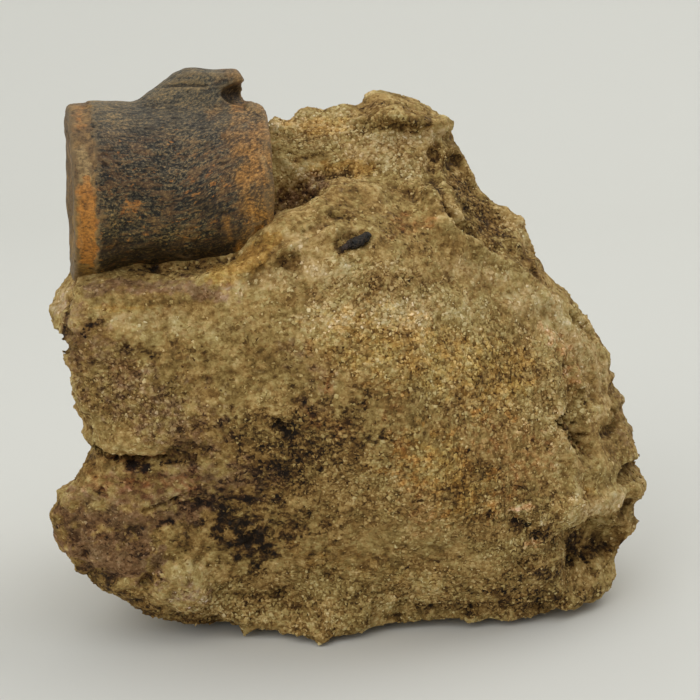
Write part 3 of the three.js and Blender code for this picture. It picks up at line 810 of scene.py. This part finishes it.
rockPaint["clay"] = [  # smooth and purple-brown
    ([(-50, 20, 22), (-10, 42, 18), (40, 26, 20)], (20, 18, 7), 0.7),
    (shared["backSwelling"], (16, 16, 5), 0.6),
    ([(-60, -38, 28.5), (-49, -40, 28.5), (-38, -40, 29.5), (-29.5, -40.5, 32.5)], (4, 10, 3.4), 0.9),
    ([(-57, -38, 24), (-47, -40, 20)], (9, 12, 9), 1.1),
    ([(-58, -37, 34), (-44, -39, 34)], (9, 10, 5), 0.5),
    ([(-36, -40, 13)], (8, 10, 7), 0.5),
    ([(-17, -13, 90), (-9, -11, 93.5)], (6, 8, 4), 0.6),
    ([(-52, -38, 77), (-36, -38, 77), (-28, -38, 76)], (7, 10, 2.6), 0.75),
    ([(-61.5, -27, 70)], (5, 10, 8), 0.38),
    ([(-14, -42, 66), (-6, -42, 60), (-8, -42, 54)], (7, 8, 5), 0.4),
    ([(-58, -38, 66), (-44, -41, 56), (-34, -41, 48)], (14, 14, 14), 0.5),
    ([(-46, -40, 36), (-24, -42, 38)], (12, 14, 8), 0.6),
    ([(60, -5, 40), (60, 5, 60)], (6, 20, 14), 0.4),
]
rockPaint["rust"] = [
    (shared["upperPinkSpot"], (2.4, 5, 1), 0.7),
    (shared["lowerPinkSpot"], (1.5, 5, 1.2), 0.7),
    ([(40, -18, 64), (45, -15, 58), (47, -15, 52)], (4, 8, 5), 0.5),
    ([(-6, -43, 57.6)], (2, 6, 2), 0.7),
    ([(-10, -42, 52), (-4, -43, 50)], (3, 6, 3), 0.5),
    ([(46, -23, 42), (48, -22, 39)], (3, 6, 3), 0.7),
    ([(11, -22, 90), (8, -26, 87), (14, -22, 87)], (4, 6, 2.5), 0.5),
    ([(-50, -37, 42), (-40, -41, 42.5)], (5, 6, 1.6), 0.6),
    ([(34, -34, 34), (39, -31, 40)], (5, 8, 5), 0.4),
    ([(-54, -38, 36), (-36, -41, 37)], (10, 10, 5), 0.45),
    ([(24, -35, 46), (36, -29, 40), (28, -34, 32)], (10, 14, 9), 0.42),
    ([(6, -42, 56), (14, -40, 28)], (8, 14, 8), 0.36),
]
rockPaint["coarse"] = [  # where the grains stand clear of the clay
    ([(0, -38, 70), (20, -34, 60), (36, -26, 52)], (20, 30, 18), 1),
    ([(-10, -40, 45), (20, -38, 35), (36, -30, 24)], (20, 30, 18), 1),
    ([(-50, -38, 58), (-40, -40, 52)], (14, 20, 10), 0.9),
    ([(-30, -35, 8), (10, -34, 10), (40, -26, 10)], (20, 20, 12), 0.9),
    ([(22, -8, 95), (30, -10, 84)], (10, 14, 10), 1),
    ([(-16, -12, 91), (-4, -10, 97)], (8, 10, 6), 0.8),
    ([(-14, -2, 104), (4, -5, 105), (12, -8, 98)], (12, 14, 8), 0.85),
    ([(24, 40, 38), (-30, 36, 44), (10, 34, 86)], (24, 20, 14), 0.9),
]


def givePaint(piece, layers):
    giveAttribute(piece, "stain", layers["dark"], layers["ochre"], layers["pale"])
    giveAttribute(piece, "skin", layers["clay"], layers["rust"], layers["coarse"])
    # how deep each corner lies, for painted shade in the hollows and painted light on the edges
    giveAttribute(piece, "reliefShading", layers["cavity"])


def paintRock(piece):
    layers = paint(places(piece), rockPaint)
    layers["cavity"] = hollowsOf(piece, stone["reliefShading"])
    givePaint(piece, layers)
    return layers


stone = {
    "reliefShading": [(4, 0.6), (30, 0.16)],  # small and broad hollows, for painted shade in them and painted light on the edges: passes of averaging, and how much they count
    # how light the stone is, from 0 to 1, and its colour there
    "shades": [(0.0, (26, 17, 6)), (0.2, (75, 54, 24)), (0.36, (121, 95, 49)), (0.5, (155, 130, 76)),
               (0.64, (184, 162, 105)), (0.8, (208, 191, 139)), (1.0, (236, 224, 185))],
    "redder": (1.06, 0.965, 0.94), "greener": (0.99, 0.99, 0.98),
    # what a full patch does to the colour
    "ochre": (1.12, 1.0, 0.74), "pale": (1.0, 1.0, 1.1), "clay": (0.87, 0.81, 1.2), "rust": (1.18, 0.9, 0.84),
    # how much each size of mottling counts
    "mottle": 0.7, "speck": 0.7, "cell": 0.3, "gap": 0.12, "fine": 0.12,
    # how much darker or lighter
    "blackGrains": 0.14, "clayShade": 0.06, "stain": 0.16, "stainedGrains": 0.2, "black": 0.16,
    # hollows and edges: how much painted shade falls in hollows, and how much painted light on standing edges
    "stainedSand": 0.1, "lighter": 0.16, "hollows": 0.2, "edges": 0.07,
    "hueOfGrains": 0.24,
    "glint": 0.25, "roughness": 0.92, "glossyGrains": -0.35,
    "grain": 0.8, "bump": 0.45,  # mm
}


def stoneMaterial(name, lighter=0.0, spread=0.0):
    # the same stone for the block and its loose grains; a grain has a tone of its own, spread about its set's
    material, wire, place = newMaterial(name)
    bedded = wire.node("Mapping", {}, {"Vector": place, "Scale": (0.95, 0.95, 1.1)})
    wander = wire.node("TexNoise", {}, {"Vector": bedded, "Scale": 0.9, "Detail": 1}, "Color")
    warped = wire.node("VectorMath", {"operation": "MULTIPLY_ADD"},
                       {0: wander, 1: (0.9, 0.9, 0.9), 2: bedded})

    def clouds(size, detail=3, rough=0.5):
        return wire.node("TexNoise", {}, {
            "Vector": bedded, "Scale": 1 / size, "Detail": detail, "Roughness": rough})

    def grains(size, output="Color"):
        return wire.node("TexVoronoi", {}, {"Vector": warped, "Scale": 1 / size}, output)

    def chance(size):
        # an even random number for every grain
        return wire.node("SeparateColor", {}, {"Color": grains(size)}, "Red")

    uneven = clouds(1.6, 4) * 3 - 0.5

    def patch(amount):
        return (amount * uneven).ramp(0.2, 0.8)

    dark, ochre, pale = painted(wire, "stain")
    clay, rust, coarse = painted(wire, "skin")
    cavity = painted(wire, "reliefShading")[0]
    plain = 1 - clay * 0.5
    shade = (clouds(8, 6, 0.6) - 0.5) * stone["mottle"] * plain + 0.5
    # the dark layer darkens for stains and for painted shade; the pale layer lightens for clean sand and for
    # painted light on upward faces
    shade = shade - dark * stone["stain"] + pale * stone["lighter"] - patch(clay) * stone["clayShade"]
    if spread:
        tone = painted(wire, "tone")[0]
        shade = shade + (tone - 0.5) * spread + lighter - dark * stone["stainedSand"]
    else:
        tone = chance(stone["grain"])
        gap = grains(stone["grain"], "Distance").ramp(0.46, 0.68)
        rough = coarse * 0.85 + 0.15
        shade = shade + (clouds(1.5, 2, 0.55) - 0.5) * stone["speck"] * plain
        shade = shade + ((tone - 0.5) * stone["cell"] - gap * stone["gap"]) * rough
        shade = shade + (chance(0.4) - 0.5) * stone["fine"]
        shade = shade - chance(0.75).ramp(0.84, 0.9) * rough * stone["blackGrains"]
        shade = shade - (dark * 0.9 - chance(0.7)).ramp(0, 0.5) * stone["stainedGrains"]
    shade = shade - (dark * uneven).ramp(0.7, 1.1) * stone["black"] * plain
    # painted shade in the hollows, and painted light on the edges that stand out
    shade = shade - cavity.ramp(0.56, 0.95) * stone["hollows"]
    shade = shade + (1 - cavity.ramp(0.12, 0.46)) * stone["edges"]
    base = shade.node("ValToRGB", {"stops": stone["shades"]}, {"Fac": shade})
    turned = (clouds(6, 5, 0.6) + (chance(0.75) - 0.5) * stone["hueOfGrains"]).ramp(0.4, 0.6)
    base = mix(1.0, base, mix(turned, (*stone["greener"], 1), (*stone["redder"], 1)), "MULTIPLY")
    for layer, kind in ((ochre, "ochre"), (pale, "pale"), (clay, "clay"), (rust, "rust")):
        base = tint(patch(layer), base, stone[kind])
    inputs = {
        "Base Color": base, "Specular IOR Level": stone["glint"],
        "Roughness": tone.ramp(0.85, 1.0) * stone["glossyGrains"] + stone["roughness"]}
    if not spread:
        height = gap * -0.4 * rough + clouds(0.7, 3, 0.6) * 0.8 + tone * 0.25
        inputs["Normal"] = wire.node("Bump", {}, {
            "Height": height, "Strength": 0.9, "Distance": stone["bump"] * mm})
    giveShader(wire, inputs)
    return material


# sand grains that stand out of the cement: how many, their half sizes in mm, and how much lighter they are
# than the stone round them
grainSets = {
    "darkGrains": {"count": 20000, "seed": 3, "sizes": (0.26, 0.6), "lighter": -0.12, "spread": 0.2},
    "amberGrains": {"count": 24000, "seed": 5, "sizes": (0.26, 0.66), "lighter": 0.02, "spread": 0.26},
    "quartzGrains": {"count": 20000, "seed": 7, "sizes": (0.24, 0.6), "lighter": 0.13, "spread": 0.26},
}
grainBed = {
    "boxMargin": 0.6, "clearOfBone": 0.5, "scatter": 0.35,  # mm
    "sunk": 0.25, "flattened": 0.5, "shadedBy": 0.8,
    "uneven": (0.7, 1.3), "knocked": (0.75, 1.25),  # how far the widths and the corners of a grain vary
    "bare": 0.2, "clayHides": 0.5,  # the odds of a grain on smooth stone, and how much clay takes from them
}


def grainPattern():
    # corners and triangles of a double pyramid
    bpy.ops.mesh.primitive_cone_add(vertices=4, radius1=1, depth=1, end_fill_type="NOTHING",
                                    location=(0, 0, 0.5))
    pattern = bpy.context.object
    bpy.ops.object.transform_apply(location=True)
    modify(pattern, "MIRROR", use_axis=(False, False, True))
    editAll(bpy.ops.mesh.normals_make_consistent, inside=False)
    corners = places(pattern) * mm
    triangles = np.array([face.vertices[:] for face in pattern.data.polygons])
    bpy.data.objects.remove(pattern)
    return corners, triangles


def turnsOf(spin):
    # a turning matrix for each row of four numbers
    w, x, y, z = (spin / np.linalg.norm(spin, axis=1, keepdims=True)).T
    return np.stack([1 - 2 * (y * y + z * z), 2 * (x * y - w * z), 2 * (x * z + w * y),
                     2 * (x * y + w * z), 1 - 2 * (x * x + z * z), 2 * (y * z - w * x),
                     2 * (x * z - w * y), 2 * (y * z + w * x), 1 - 2 * (x * x + y * y)], 1).reshape(-1, 3, 3)


def makeGrains(name, rock, layers):
    settings = grainSets[name]
    draw = np.random.default_rng(settings["seed"])
    corners, triangles = grainPattern()
    faces = rock.data.polygons
    middles, facing = readAll(faces, "center") / mm, readAll(faces, "normal")
    firstCorner = readAll(faces, "loop_start", 1, np.int32)[:, 0]
    vertex = readAll(rock.data.loops, "vertex_index", 1, np.int32)[firstCorner, 0]
    likely = np.clip(layers["coarse"][vertex] - layers["clay"][vertex] * grainBed["clayHides"], 0, 1)
    low, high = (np.array(corner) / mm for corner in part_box("sandstone_matrix"))
    margin = grainBed["boxMargin"]
    inside = np.all((middles > low + margin) & (middles < high - margin), axis=1)
    odds = readAll(faces, "area", 1)[:, 0] * (grainBed["bare"] + likely) * inside
    chosen = draw.choice(len(faces), settings["count"], p=odds / odds.sum())
    height, _ = heightOverBone(middles[chosen], 2)
    chosen = chosen[height > grainBed["clearOfBone"]]
    count = len(chosen)
    size = draw.uniform(*settings["sizes"], (count, 1)) * draw.uniform(*grainBed["uneven"], (count, 3))
    scatter = draw.uniform(-grainBed["scatter"], grainBed["scatter"], (count, 3))
    spots = middles[chosen] + scatter * (1 - np.abs(facing[chosen]))
    spots -= facing[chosen] * size.mean(1, keepdims=True) * grainBed["sunk"]
    turns = turnsOf(draw.normal(size=(count, 4)))
    # each pyramid is knocked out of shape, turned, flattened against the rock and set in its place
    shapes = corners[None] * size[:, None] * draw.uniform(*grainBed["knocked"], (count, len(corners), 1))
    shapes = np.einsum("nij,nkj->nki", turns, shapes)
    outward = np.einsum("nki,ni->nk", shapes, facing[chosen])
    shapes -= outward[:, :, None] * facing[chosen][:, None] * grainBed["flattened"]
    points = (shapes + spots[:, None]).reshape(-1, 3) * mm
    triangles = triangles[None] + (np.arange(count) * len(corners))[:, None, None]
    mesh = bpy.data.meshes.new(name)
    mesh.from_pydata(points.tolist(), [], triangles.reshape(-1, 3).tolist())
    piece = addPiece(name, mesh)
    under = np.repeat(vertex[chosen], len(corners))
    paintLayers = {channel: layer[under] for channel, layer in layers.items()}
    # a grain takes most of the painted shade of the hollow it sits in
    paintLayers["cavity"] *= grainBed["shadedBy"]
    givePaint(piece, paintLayers)
    giveAttribute(piece, "tone", np.repeat(draw.uniform(0, 1, count), len(corners)))
    return piece


boneShape = {
    "middle": (-40.4, -16, 93.3), "turn": (-6, 0.7, 12),  # mm and degrees: the bone's own frame, axis along X
    "voxel": 0.37, "rounding": 12,
    "leftLip": -15.2, "lipStep": 0.28,  # the dark skin of the body ends here, and the lip lies a little lower
    "lipStart": 14, "lipRun": 3,  # the fibres run along the body and round its lips
    "fibre": 0.09, "ripple": 0.35, "pitDepth": 0.8, "pitLevel": 0.42,
    # marks in the bone's own frame: path, reach, push, softness
    "marks": [
        # a crack along the arch, and a worn arc near the right lip
        ([(-3, -6, 21.2), (2, -5.5, 21.7), (8, -5.2, 21.6)], (1, 3, 0.45), -0.4, 0.6),
        ([(15, -17, -6), (14.8, -17.6, 0)], (0.45, 3, 1), -0.12, 0.7),
        # dents low on the body, and a swelling on the right lip
        ([(-9, -17, -6), (-6, -17, -7)], (1.6, 3, 1), -0.3, 0.8),
        ([(16, -17, -10), (18, -16.5, -6)], (1.4, 3, 1.6), -0.35, 0.8),
        ([(17.4, -8, 17), (17.4, -3, 18)], (2.2, 5, 3), 0.8, 0.8),
    ],
}


def inBoneFrame(points):
    turn = np.array(Euler([math.radians(angle) for angle in boneShape["turn"]]).to_matrix())
    return (points - np.array(boneShape["middle"])) @ turn


def makeBone():
    bone = copyNode("vertebra", "bone")
    wrap(bone, boneShape["voxel"])
    soften(bone, boneShape["rounding"])
    own = inBoneFrame(places(bone))
    along = own[:, 0]
    lip = np.clip((np.abs(along) - boneShape["lipStart"]) / boneShape["lipRun"], 0, 1)
    grainAlong = noiseField(own / (5, 0.9, 0.9), 1)
    grainRound = noiseField(own / (0.9, 5, 5), 1, shift=9)
    broad = noiseField(own, 6, 2, shift=4)
    pits = np.clip(noiseField(own / (1.8, 1, 1), 1, 1, shift=21) - boneShape["pitLevel"], 0, 1)
    edge = noiseField(own, 2, shift=14) * 1.2
    skinGone = np.clip((boneShape["leftLip"] - along + edge) / 0.5, 0, 1)
    height = boneShape["fibre"] * (grainAlong * (1 - lip) + grainRound * lip) + boneShape["ripple"] * broad
    height -= boneShape["pitDepth"] * pits + boneShape["lipStep"] * skinGone
    moveTo(bone, places(bone) + normals(bone) * height[:, None])
    own = inBoneFrame(places(bone))
    ragged = noiseField(own, 1.5)
    for path, reach, push, softness in boneShape["marks"]:
        weight = brush(own, path, reach, softness, ragged)[:, None]
        moveTo(bone, places(bone) + normals(bone) * push * weight)
    return bone


bonePaint = {
    # path, reach and strength, in the bone's own frame
    "dark": [
        # along the underside: the bone's own darker colour, with painted shade on it
        ([(-13, -14, -14), (0, -14, -15), (13, -14, -13)], (4, 10, 8), 1.1),
        ([(-13.5, -15, -9)], (2.5, 6, 2), 1),
        ([(6, -17, -2), (12, -17, -8)], (4, 6, 3), 0.7),
        ([(19.6, -10, -4), (19.6, -12, -10)], (1.2, 8, 4), 0.9),
    ],
    "tan": [
        ([(-18, -15, 8), (-17.5, -18, 3)], (2.5, 8, 3), 0.9),
        ([(17, -15, 8), (18, -16, 5)], (2, 8, 2.4), 0.6),
        ([(-5, -12, 13), (8, -12, 13)], (12, 8, 3), 0.35),
    ],
    "rust": [
        ([(-17.6, -16, -12), (-17.6, -18, -4), (-17.4, -18, 0)], (2.8, 8, 5.4), 1.2),
        ([(17, -17, -8), (19, -15, -12)], (3, 8, 4), 0.65),
        ([(12, -13, 17), (15, -6, 17.5)], (2.5, 6, 2.5), 0.5),
        ([(-18, -8, 18), (-18.5, -13, 14)], (3, 8, 3), 0.5),
    ],
}


def paintBone(piece):
    layers = paint(inBoneFrame(places(piece)), bonePaint, uneven=2, octaves=3, shift=5, amount=0.4)
    giveAttribute(piece, "stain", layers["dark"], layers["tan"], layers["rust"])
    giveAttribute(piece, "reliefShading", hollowsOf(piece, boneColours["reliefShading"]))


boneColours = {
    "reliefShading": [(6, 2.5)],  # small hollows, for painted shade in them and painted light on the edges: passes of averaging, and how much they count
    # how light the dark skin of the body is, from 0 to 1, and its colour there
    "body": [(0.0, (12, 9, 4)), (0.25, (36, 31, 22)), (0.45, (62, 56, 44)), (0.62, (90, 82, 64)),
             (0.8, (128, 108, 74)), (1.0, (168, 138, 92))],
    "low": (1.05, 1.0, 0.5), "arch": (1.0, 1.08, 1.2),  # what these parts do to the colour
    # patches on the skin
    "brown": (98, 66, 36), "speck": (142, 110, 66), "fleckLow": (122, 78, 38), "fleckHigh": (178, 122, 62),
    "blackLow": (32, 22, 8), "blackHigh": (72, 54, 26), "tan": (160, 134, 90), "rust": (176, 115, 50),
    # hollow and edge: the colours of the painted shade in hollows and the painted light on edges
    "pore": (26, 22, 16), "hollow": (34, 24, 14), "edge": (150, 124, 82),
    # the mottled right end, the bare left lip, its rim, and the rings on the end faces
    "endLow": (92, 68, 38), "endHigh": (156, 110, 54), "endFleece": (176, 130, 70),
    "bareLow": (100, 76, 46), "bareHigh": (146, 114, 68), "bareFleece": (84, 62, 38),
    "rimLow": (82, 70, 54), "rimHigh": (120, 98, 68), "ring": (92, 70, 44),
}


def boneMaterial():
    material, wire, place = newMaterial("fossilBone", {"vector_type": "TEXTURE"}, {
        "Location": tuple(Vector(boneShape["middle"]) * mm),
        "Rotation": tuple(math.radians(angle) for angle in boneShape["turn"]),
        "Scale": (mm, mm, mm)})
    along, depth, tall = [wire.node("SeparateXYZ", {}, {"Vector": place}, axis) for axis in "XYZ"]
    # the fibres bend up towards the right lip
    bent = wire.node("CombineXYZ", {}, {"X": along, "Y": depth, "Z": tall - along.ramp(-2, 20) * 7})

    def clouds(size, detail=3, stretch=(1, 1, 1), rough=0.5):
        pulled = wire.node("Mapping", {}, {"Vector": bent, "Scale": tuple(1 / (size * s) for s in stretch)})
        return wire.node("TexNoise", {}, {"Vector": pulled, "Scale": 1, "Detail": detail, "Roughness": rough})

    def seen(name):
        return colour(*boneColours[name])

    dark, tan, rust = painted(wire, "stain")
    cavity = painted(wire, "reliefShading")[0]
    upper = tall.ramp(7, 16)
    broad = clouds(6, 3, (1.5, 1, 1))
    fibre = clouds(0.7, 5, (4, 1, 1), 0.65)
    fleece = clouds(0.45, 4, (1.4, 1, 1), 0.75)
    vivid = 1 - upper * 0.45
    # lighter towards the top: partly the greyer bone there, partly painted light from above
    shade = ((fibre - 0.5) * 1.6 + (fleece - 0.5) * 3.3) * vivid + (broad - 0.5) * 0.8 + 0.43 + upper * 0.15
    base = shade.node("ValToRGB", {"stops": boneColours["body"]}, {"Fac": shade})
    brown = (clouds(3, 5, (1.6, 1, 1), 0.6) + (fibre - 0.5) * 1.2).ramp(0.48, 0.6)
    base = mix(brown * 0.55 * (1 - upper), base, seen("brown"))
    # tan and orange flecks, and black patches
    speck = clouds(0.42, 3, (1.8, 1, 1), 0.6).ramp(0.58, 0.66) * clouds(2.5, 3).ramp(0.4, 0.6)
    base = mix(speck * 0.7, base, seen("speck"))
    fleck = clouds(1.5, 5, (1.5, 1, 0.8), 0.65) + clouds(7, 2) * 0.3 - 0.15 - upper * 0.15
    orange = mix(fleece.ramp(0.4, 0.6), seen("fleckLow"), seen("fleckHigh"))
    base = mix(fleck.ramp(0.61, 0.65) * 0.9, base, orange)
    black = mix(fleece.ramp(0.5, 0.62), seen("blackLow"), seen("blackHigh"))
    # black where the dark layer lies: patches, and along the underside painted shade over the darker bone
    base = mix((dark * (clouds(1.2) * 2)).ramp(0.15, 0.9) * 0.8, base, black)
    # warmer low down, greyer on the arch
    base = tint((1 - tall.ramp(-13, 6)) * 0.7, base, boneColours["low"])
    base = tint(tall.ramp(17, 21) * 0.6, base, boneColours["arch"])
    # the right end is mottled tan, the left lip is bare tan and orange bone with a sharp ragged edge
    patchy = clouds(2.6, 5, (1, 1, 1.6), 0.6)
    tanned = mix(patchy.ramp(0.4, 0.6), seen("endLow"), seen("endHigh"))
    tanned = mix(fleece.ramp(0.5, 0.7) * 0.5, tanned, seen("endFleece"))
    rightEnd = (along + (clouds(5, 5, (1, 1, 1.3), 0.6) - 0.5) * 26).ramp(9, 14)
    base = mix(rightEnd * 0.85 * (1 - upper * 0.4), base, tanned)
    bare = mix(patchy.ramp(0.42, 0.6), seen("bareLow"), seen("bareHigh"))
    bare = mix(fleece.ramp(0.5, 0.66) * 0.4, bare, seen("bareFleece"))
    leftLip = (boneShape["leftLip"] - along + (clouds(1.5, 4) - 0.5) * 3).ramp(0, 0.6)
    base = mix(leftLip * 0.95, base, bare)
    base = mix((tan * (clouds(1.3) * 2)).ramp(0.3, 0.9) * 0.75, base, seen("tan"))
    base = mix((rust * (clouds(1.3) * 2)).ramp(0.3, 0.9) * 0.75, base, seen("rust"))
    rightAlone = rightEnd * (1 - leftLip)
    base = tint((1 - tall.ramp(-8, 8)) * (leftLip + rightAlone) * 0.7, base, boneColours["low"])
    base = tint(leftLip * 0.6 + rightAlone * 0.85, base, fleece.ramp(0.34, 0.66) * 1.4 + 0.3)
    # growth rings on the end faces, and a duller rim
    bareEnd = (along.math("ABSOLUTE") - 19.6).ramp(0, 1)
    across = (depth * depth + tall * tall).math("SQRT")
    rings = (across * 2.6 + clouds(5) * 8).math("SINE") * 0.5 + 0.5
    base = mix(bareEnd * rings * 0.5, base, seen("ring"))
    rim = (-19.3 - along + (clouds(1.5) - 0.5) * 1.5).ramp(0, 0.7)
    base = mix(rim * 0.8, base, mix(clouds(1.1).ramp(0.4, 0.6), seen("rimLow"), seen("rimHigh")))
    # dark pores, painted shade in the hollows, painted light on the edges
    base = mix((1 - fleece.ramp(0.28, 0.42)) * 0.7, base, seen("pore"))
    base = mix(cavity.ramp(0.56, 0.85) * 0.7, base, seen("hollow"))
    base = mix((1 - cavity.ramp(0.25, 0.46)) * 0.3, base, seen("edge"))
    bump = {"Height": fibre * 0.7 + fleece * 0.5, "Strength": 0.8, "Distance": 0.24 * mm}
    giveShader(wire, {"Base Color": base, "Roughness": clouds(2) * 0.3 + 0.45, "Specular IOR Level": 0.35,
                      "Normal": wire.node("Bump", {}, bump)})
    return material


chipShape = {
    "voxel": 0.14, "rounding": 2,
    "along": (0.92, 0.0, 0.4), "thickness": 0.72,  # squeezed to a splinter across this direction
    "relief": [("CLOUDS", 1.6, 0.5, {"noise_type": "HARD_NOISE"}), ("CLOUDS", 0.5, 0.12, {})],
    # the waist between its black body and its brown end, the top of the body, and the bruised brown end
    "marks": [([(-2.4, -36.5, 87), (-1.8, -36, 83)], (0.7, 3, 1.6), -0.45, 0.7),
              ([(1.6, -34, 87.6)], (1.8, 4, 1.6), 0.6, 0.8), ([(-4.2, -36, 84.6)], (1.6, 4, 1.4), 0.5, 0.8)],
    "brownEnd": -2.2,  # mm, left of which it is brown
    "blackLow": (11, 9, 6), "blackHigh": (34, 29, 22), "brown": (52, 36, 26), "cracks": (60, 50, 40),
}


def makeChip():
    chip = copyNode("bone_chip", "chip")
    wrap(chip, chipShape["voxel"])
    soften(chip, chipShape["rounding"])
    points = places(chip)
    middle, along = points.mean(0), np.array(chipShape["along"])
    run = ((points - middle) @ along)[:, None] * along / (along @ along)
    moveTo(chip, middle + run + (points - middle - run) * chipShape["thickness"])
    sculpt(chip, chipShape["marks"], uneven=1.2)
    for kind, size, height, settings in chipShape["relief"]:
        roughen(chip, kind, size, height, settings)
    return chip


def chipMaterial():
    material, wire, place = newMaterial("blackBone")
    clouds = wire.node("TexNoise", {}, {"Vector": place, "Scale": 1.1, "Detail": 4})
    cracks = wire.node("TexVoronoi", {"feature": "DISTANCE_TO_EDGE"}, {"Vector": place, "Scale": 0.9})
    along = wire.node("SeparateXYZ", {}, {"Vector": place}, "X")
    blackLow, blackHigh, brown, pale = (
        colour(*chipShape[name]) for name in ("blackLow", "blackHigh", "brown", "cracks"))
    blackEnd = (along + clouds).ramp(chipShape["brownEnd"], chipShape["brownEnd"] + 1)
    base = mix(clouds.ramp(0.35, 0.65), blackLow, blackHigh)
    base = mix(1 - blackEnd, base, brown)
    base = mix(1 - cracks.ramp(0.02, 0.12), base, pale)
    bump = {"Height": clouds + cracks.ramp(0, 0.1), "Strength": 0.6, "Distance": 0.2 * mm}
    giveShader(wire, {"Base Color": base, "Roughness": clouds * 0.3 + 0.45, "Specular IOR Level": 0.25,
                      "Normal": wire.node("Bump", {}, bump)})
    return material


def finish(piece, material, smooth=True):
    piece.data.materials.append(material)
    pick(piece)
    if smooth:
        bpy.ops.object.shade_smooth()
    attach(piece, "root")


rock = makeRock()
fitTo(rock, "sandstone_matrix")
paintLayers = paintRock(rock)
finish(rock, stoneMaterial("sandstone"))
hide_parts("sandstone_matrix")
print("rock carved,", len(rock.data.polygons) * 2, "triangles")

bone = makeBone()
fitTo(bone, "vertebra")
paintBone(bone)
finish(bone, boneMaterial())
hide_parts("vertebra")
print("vertebra carved,", len(bone.data.polygons) * 2, "triangles")

chip = makeChip()
fitTo(chip, "bone_chip")
finish(chip, chipMaterial())
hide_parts("bone_chip")
print("bone chip carved,", len(chip.data.polygons) * 2, "triangles")

for name, tones in grainSets.items():
    grains = makeGrains(name, rock, paintLayers)
    finish(grains, stoneMaterial(name, tones["lighter"], tones["spread"]), smooth=False)
    print(name, "set in the rock,", len(grains.data.polygons), "triangles")
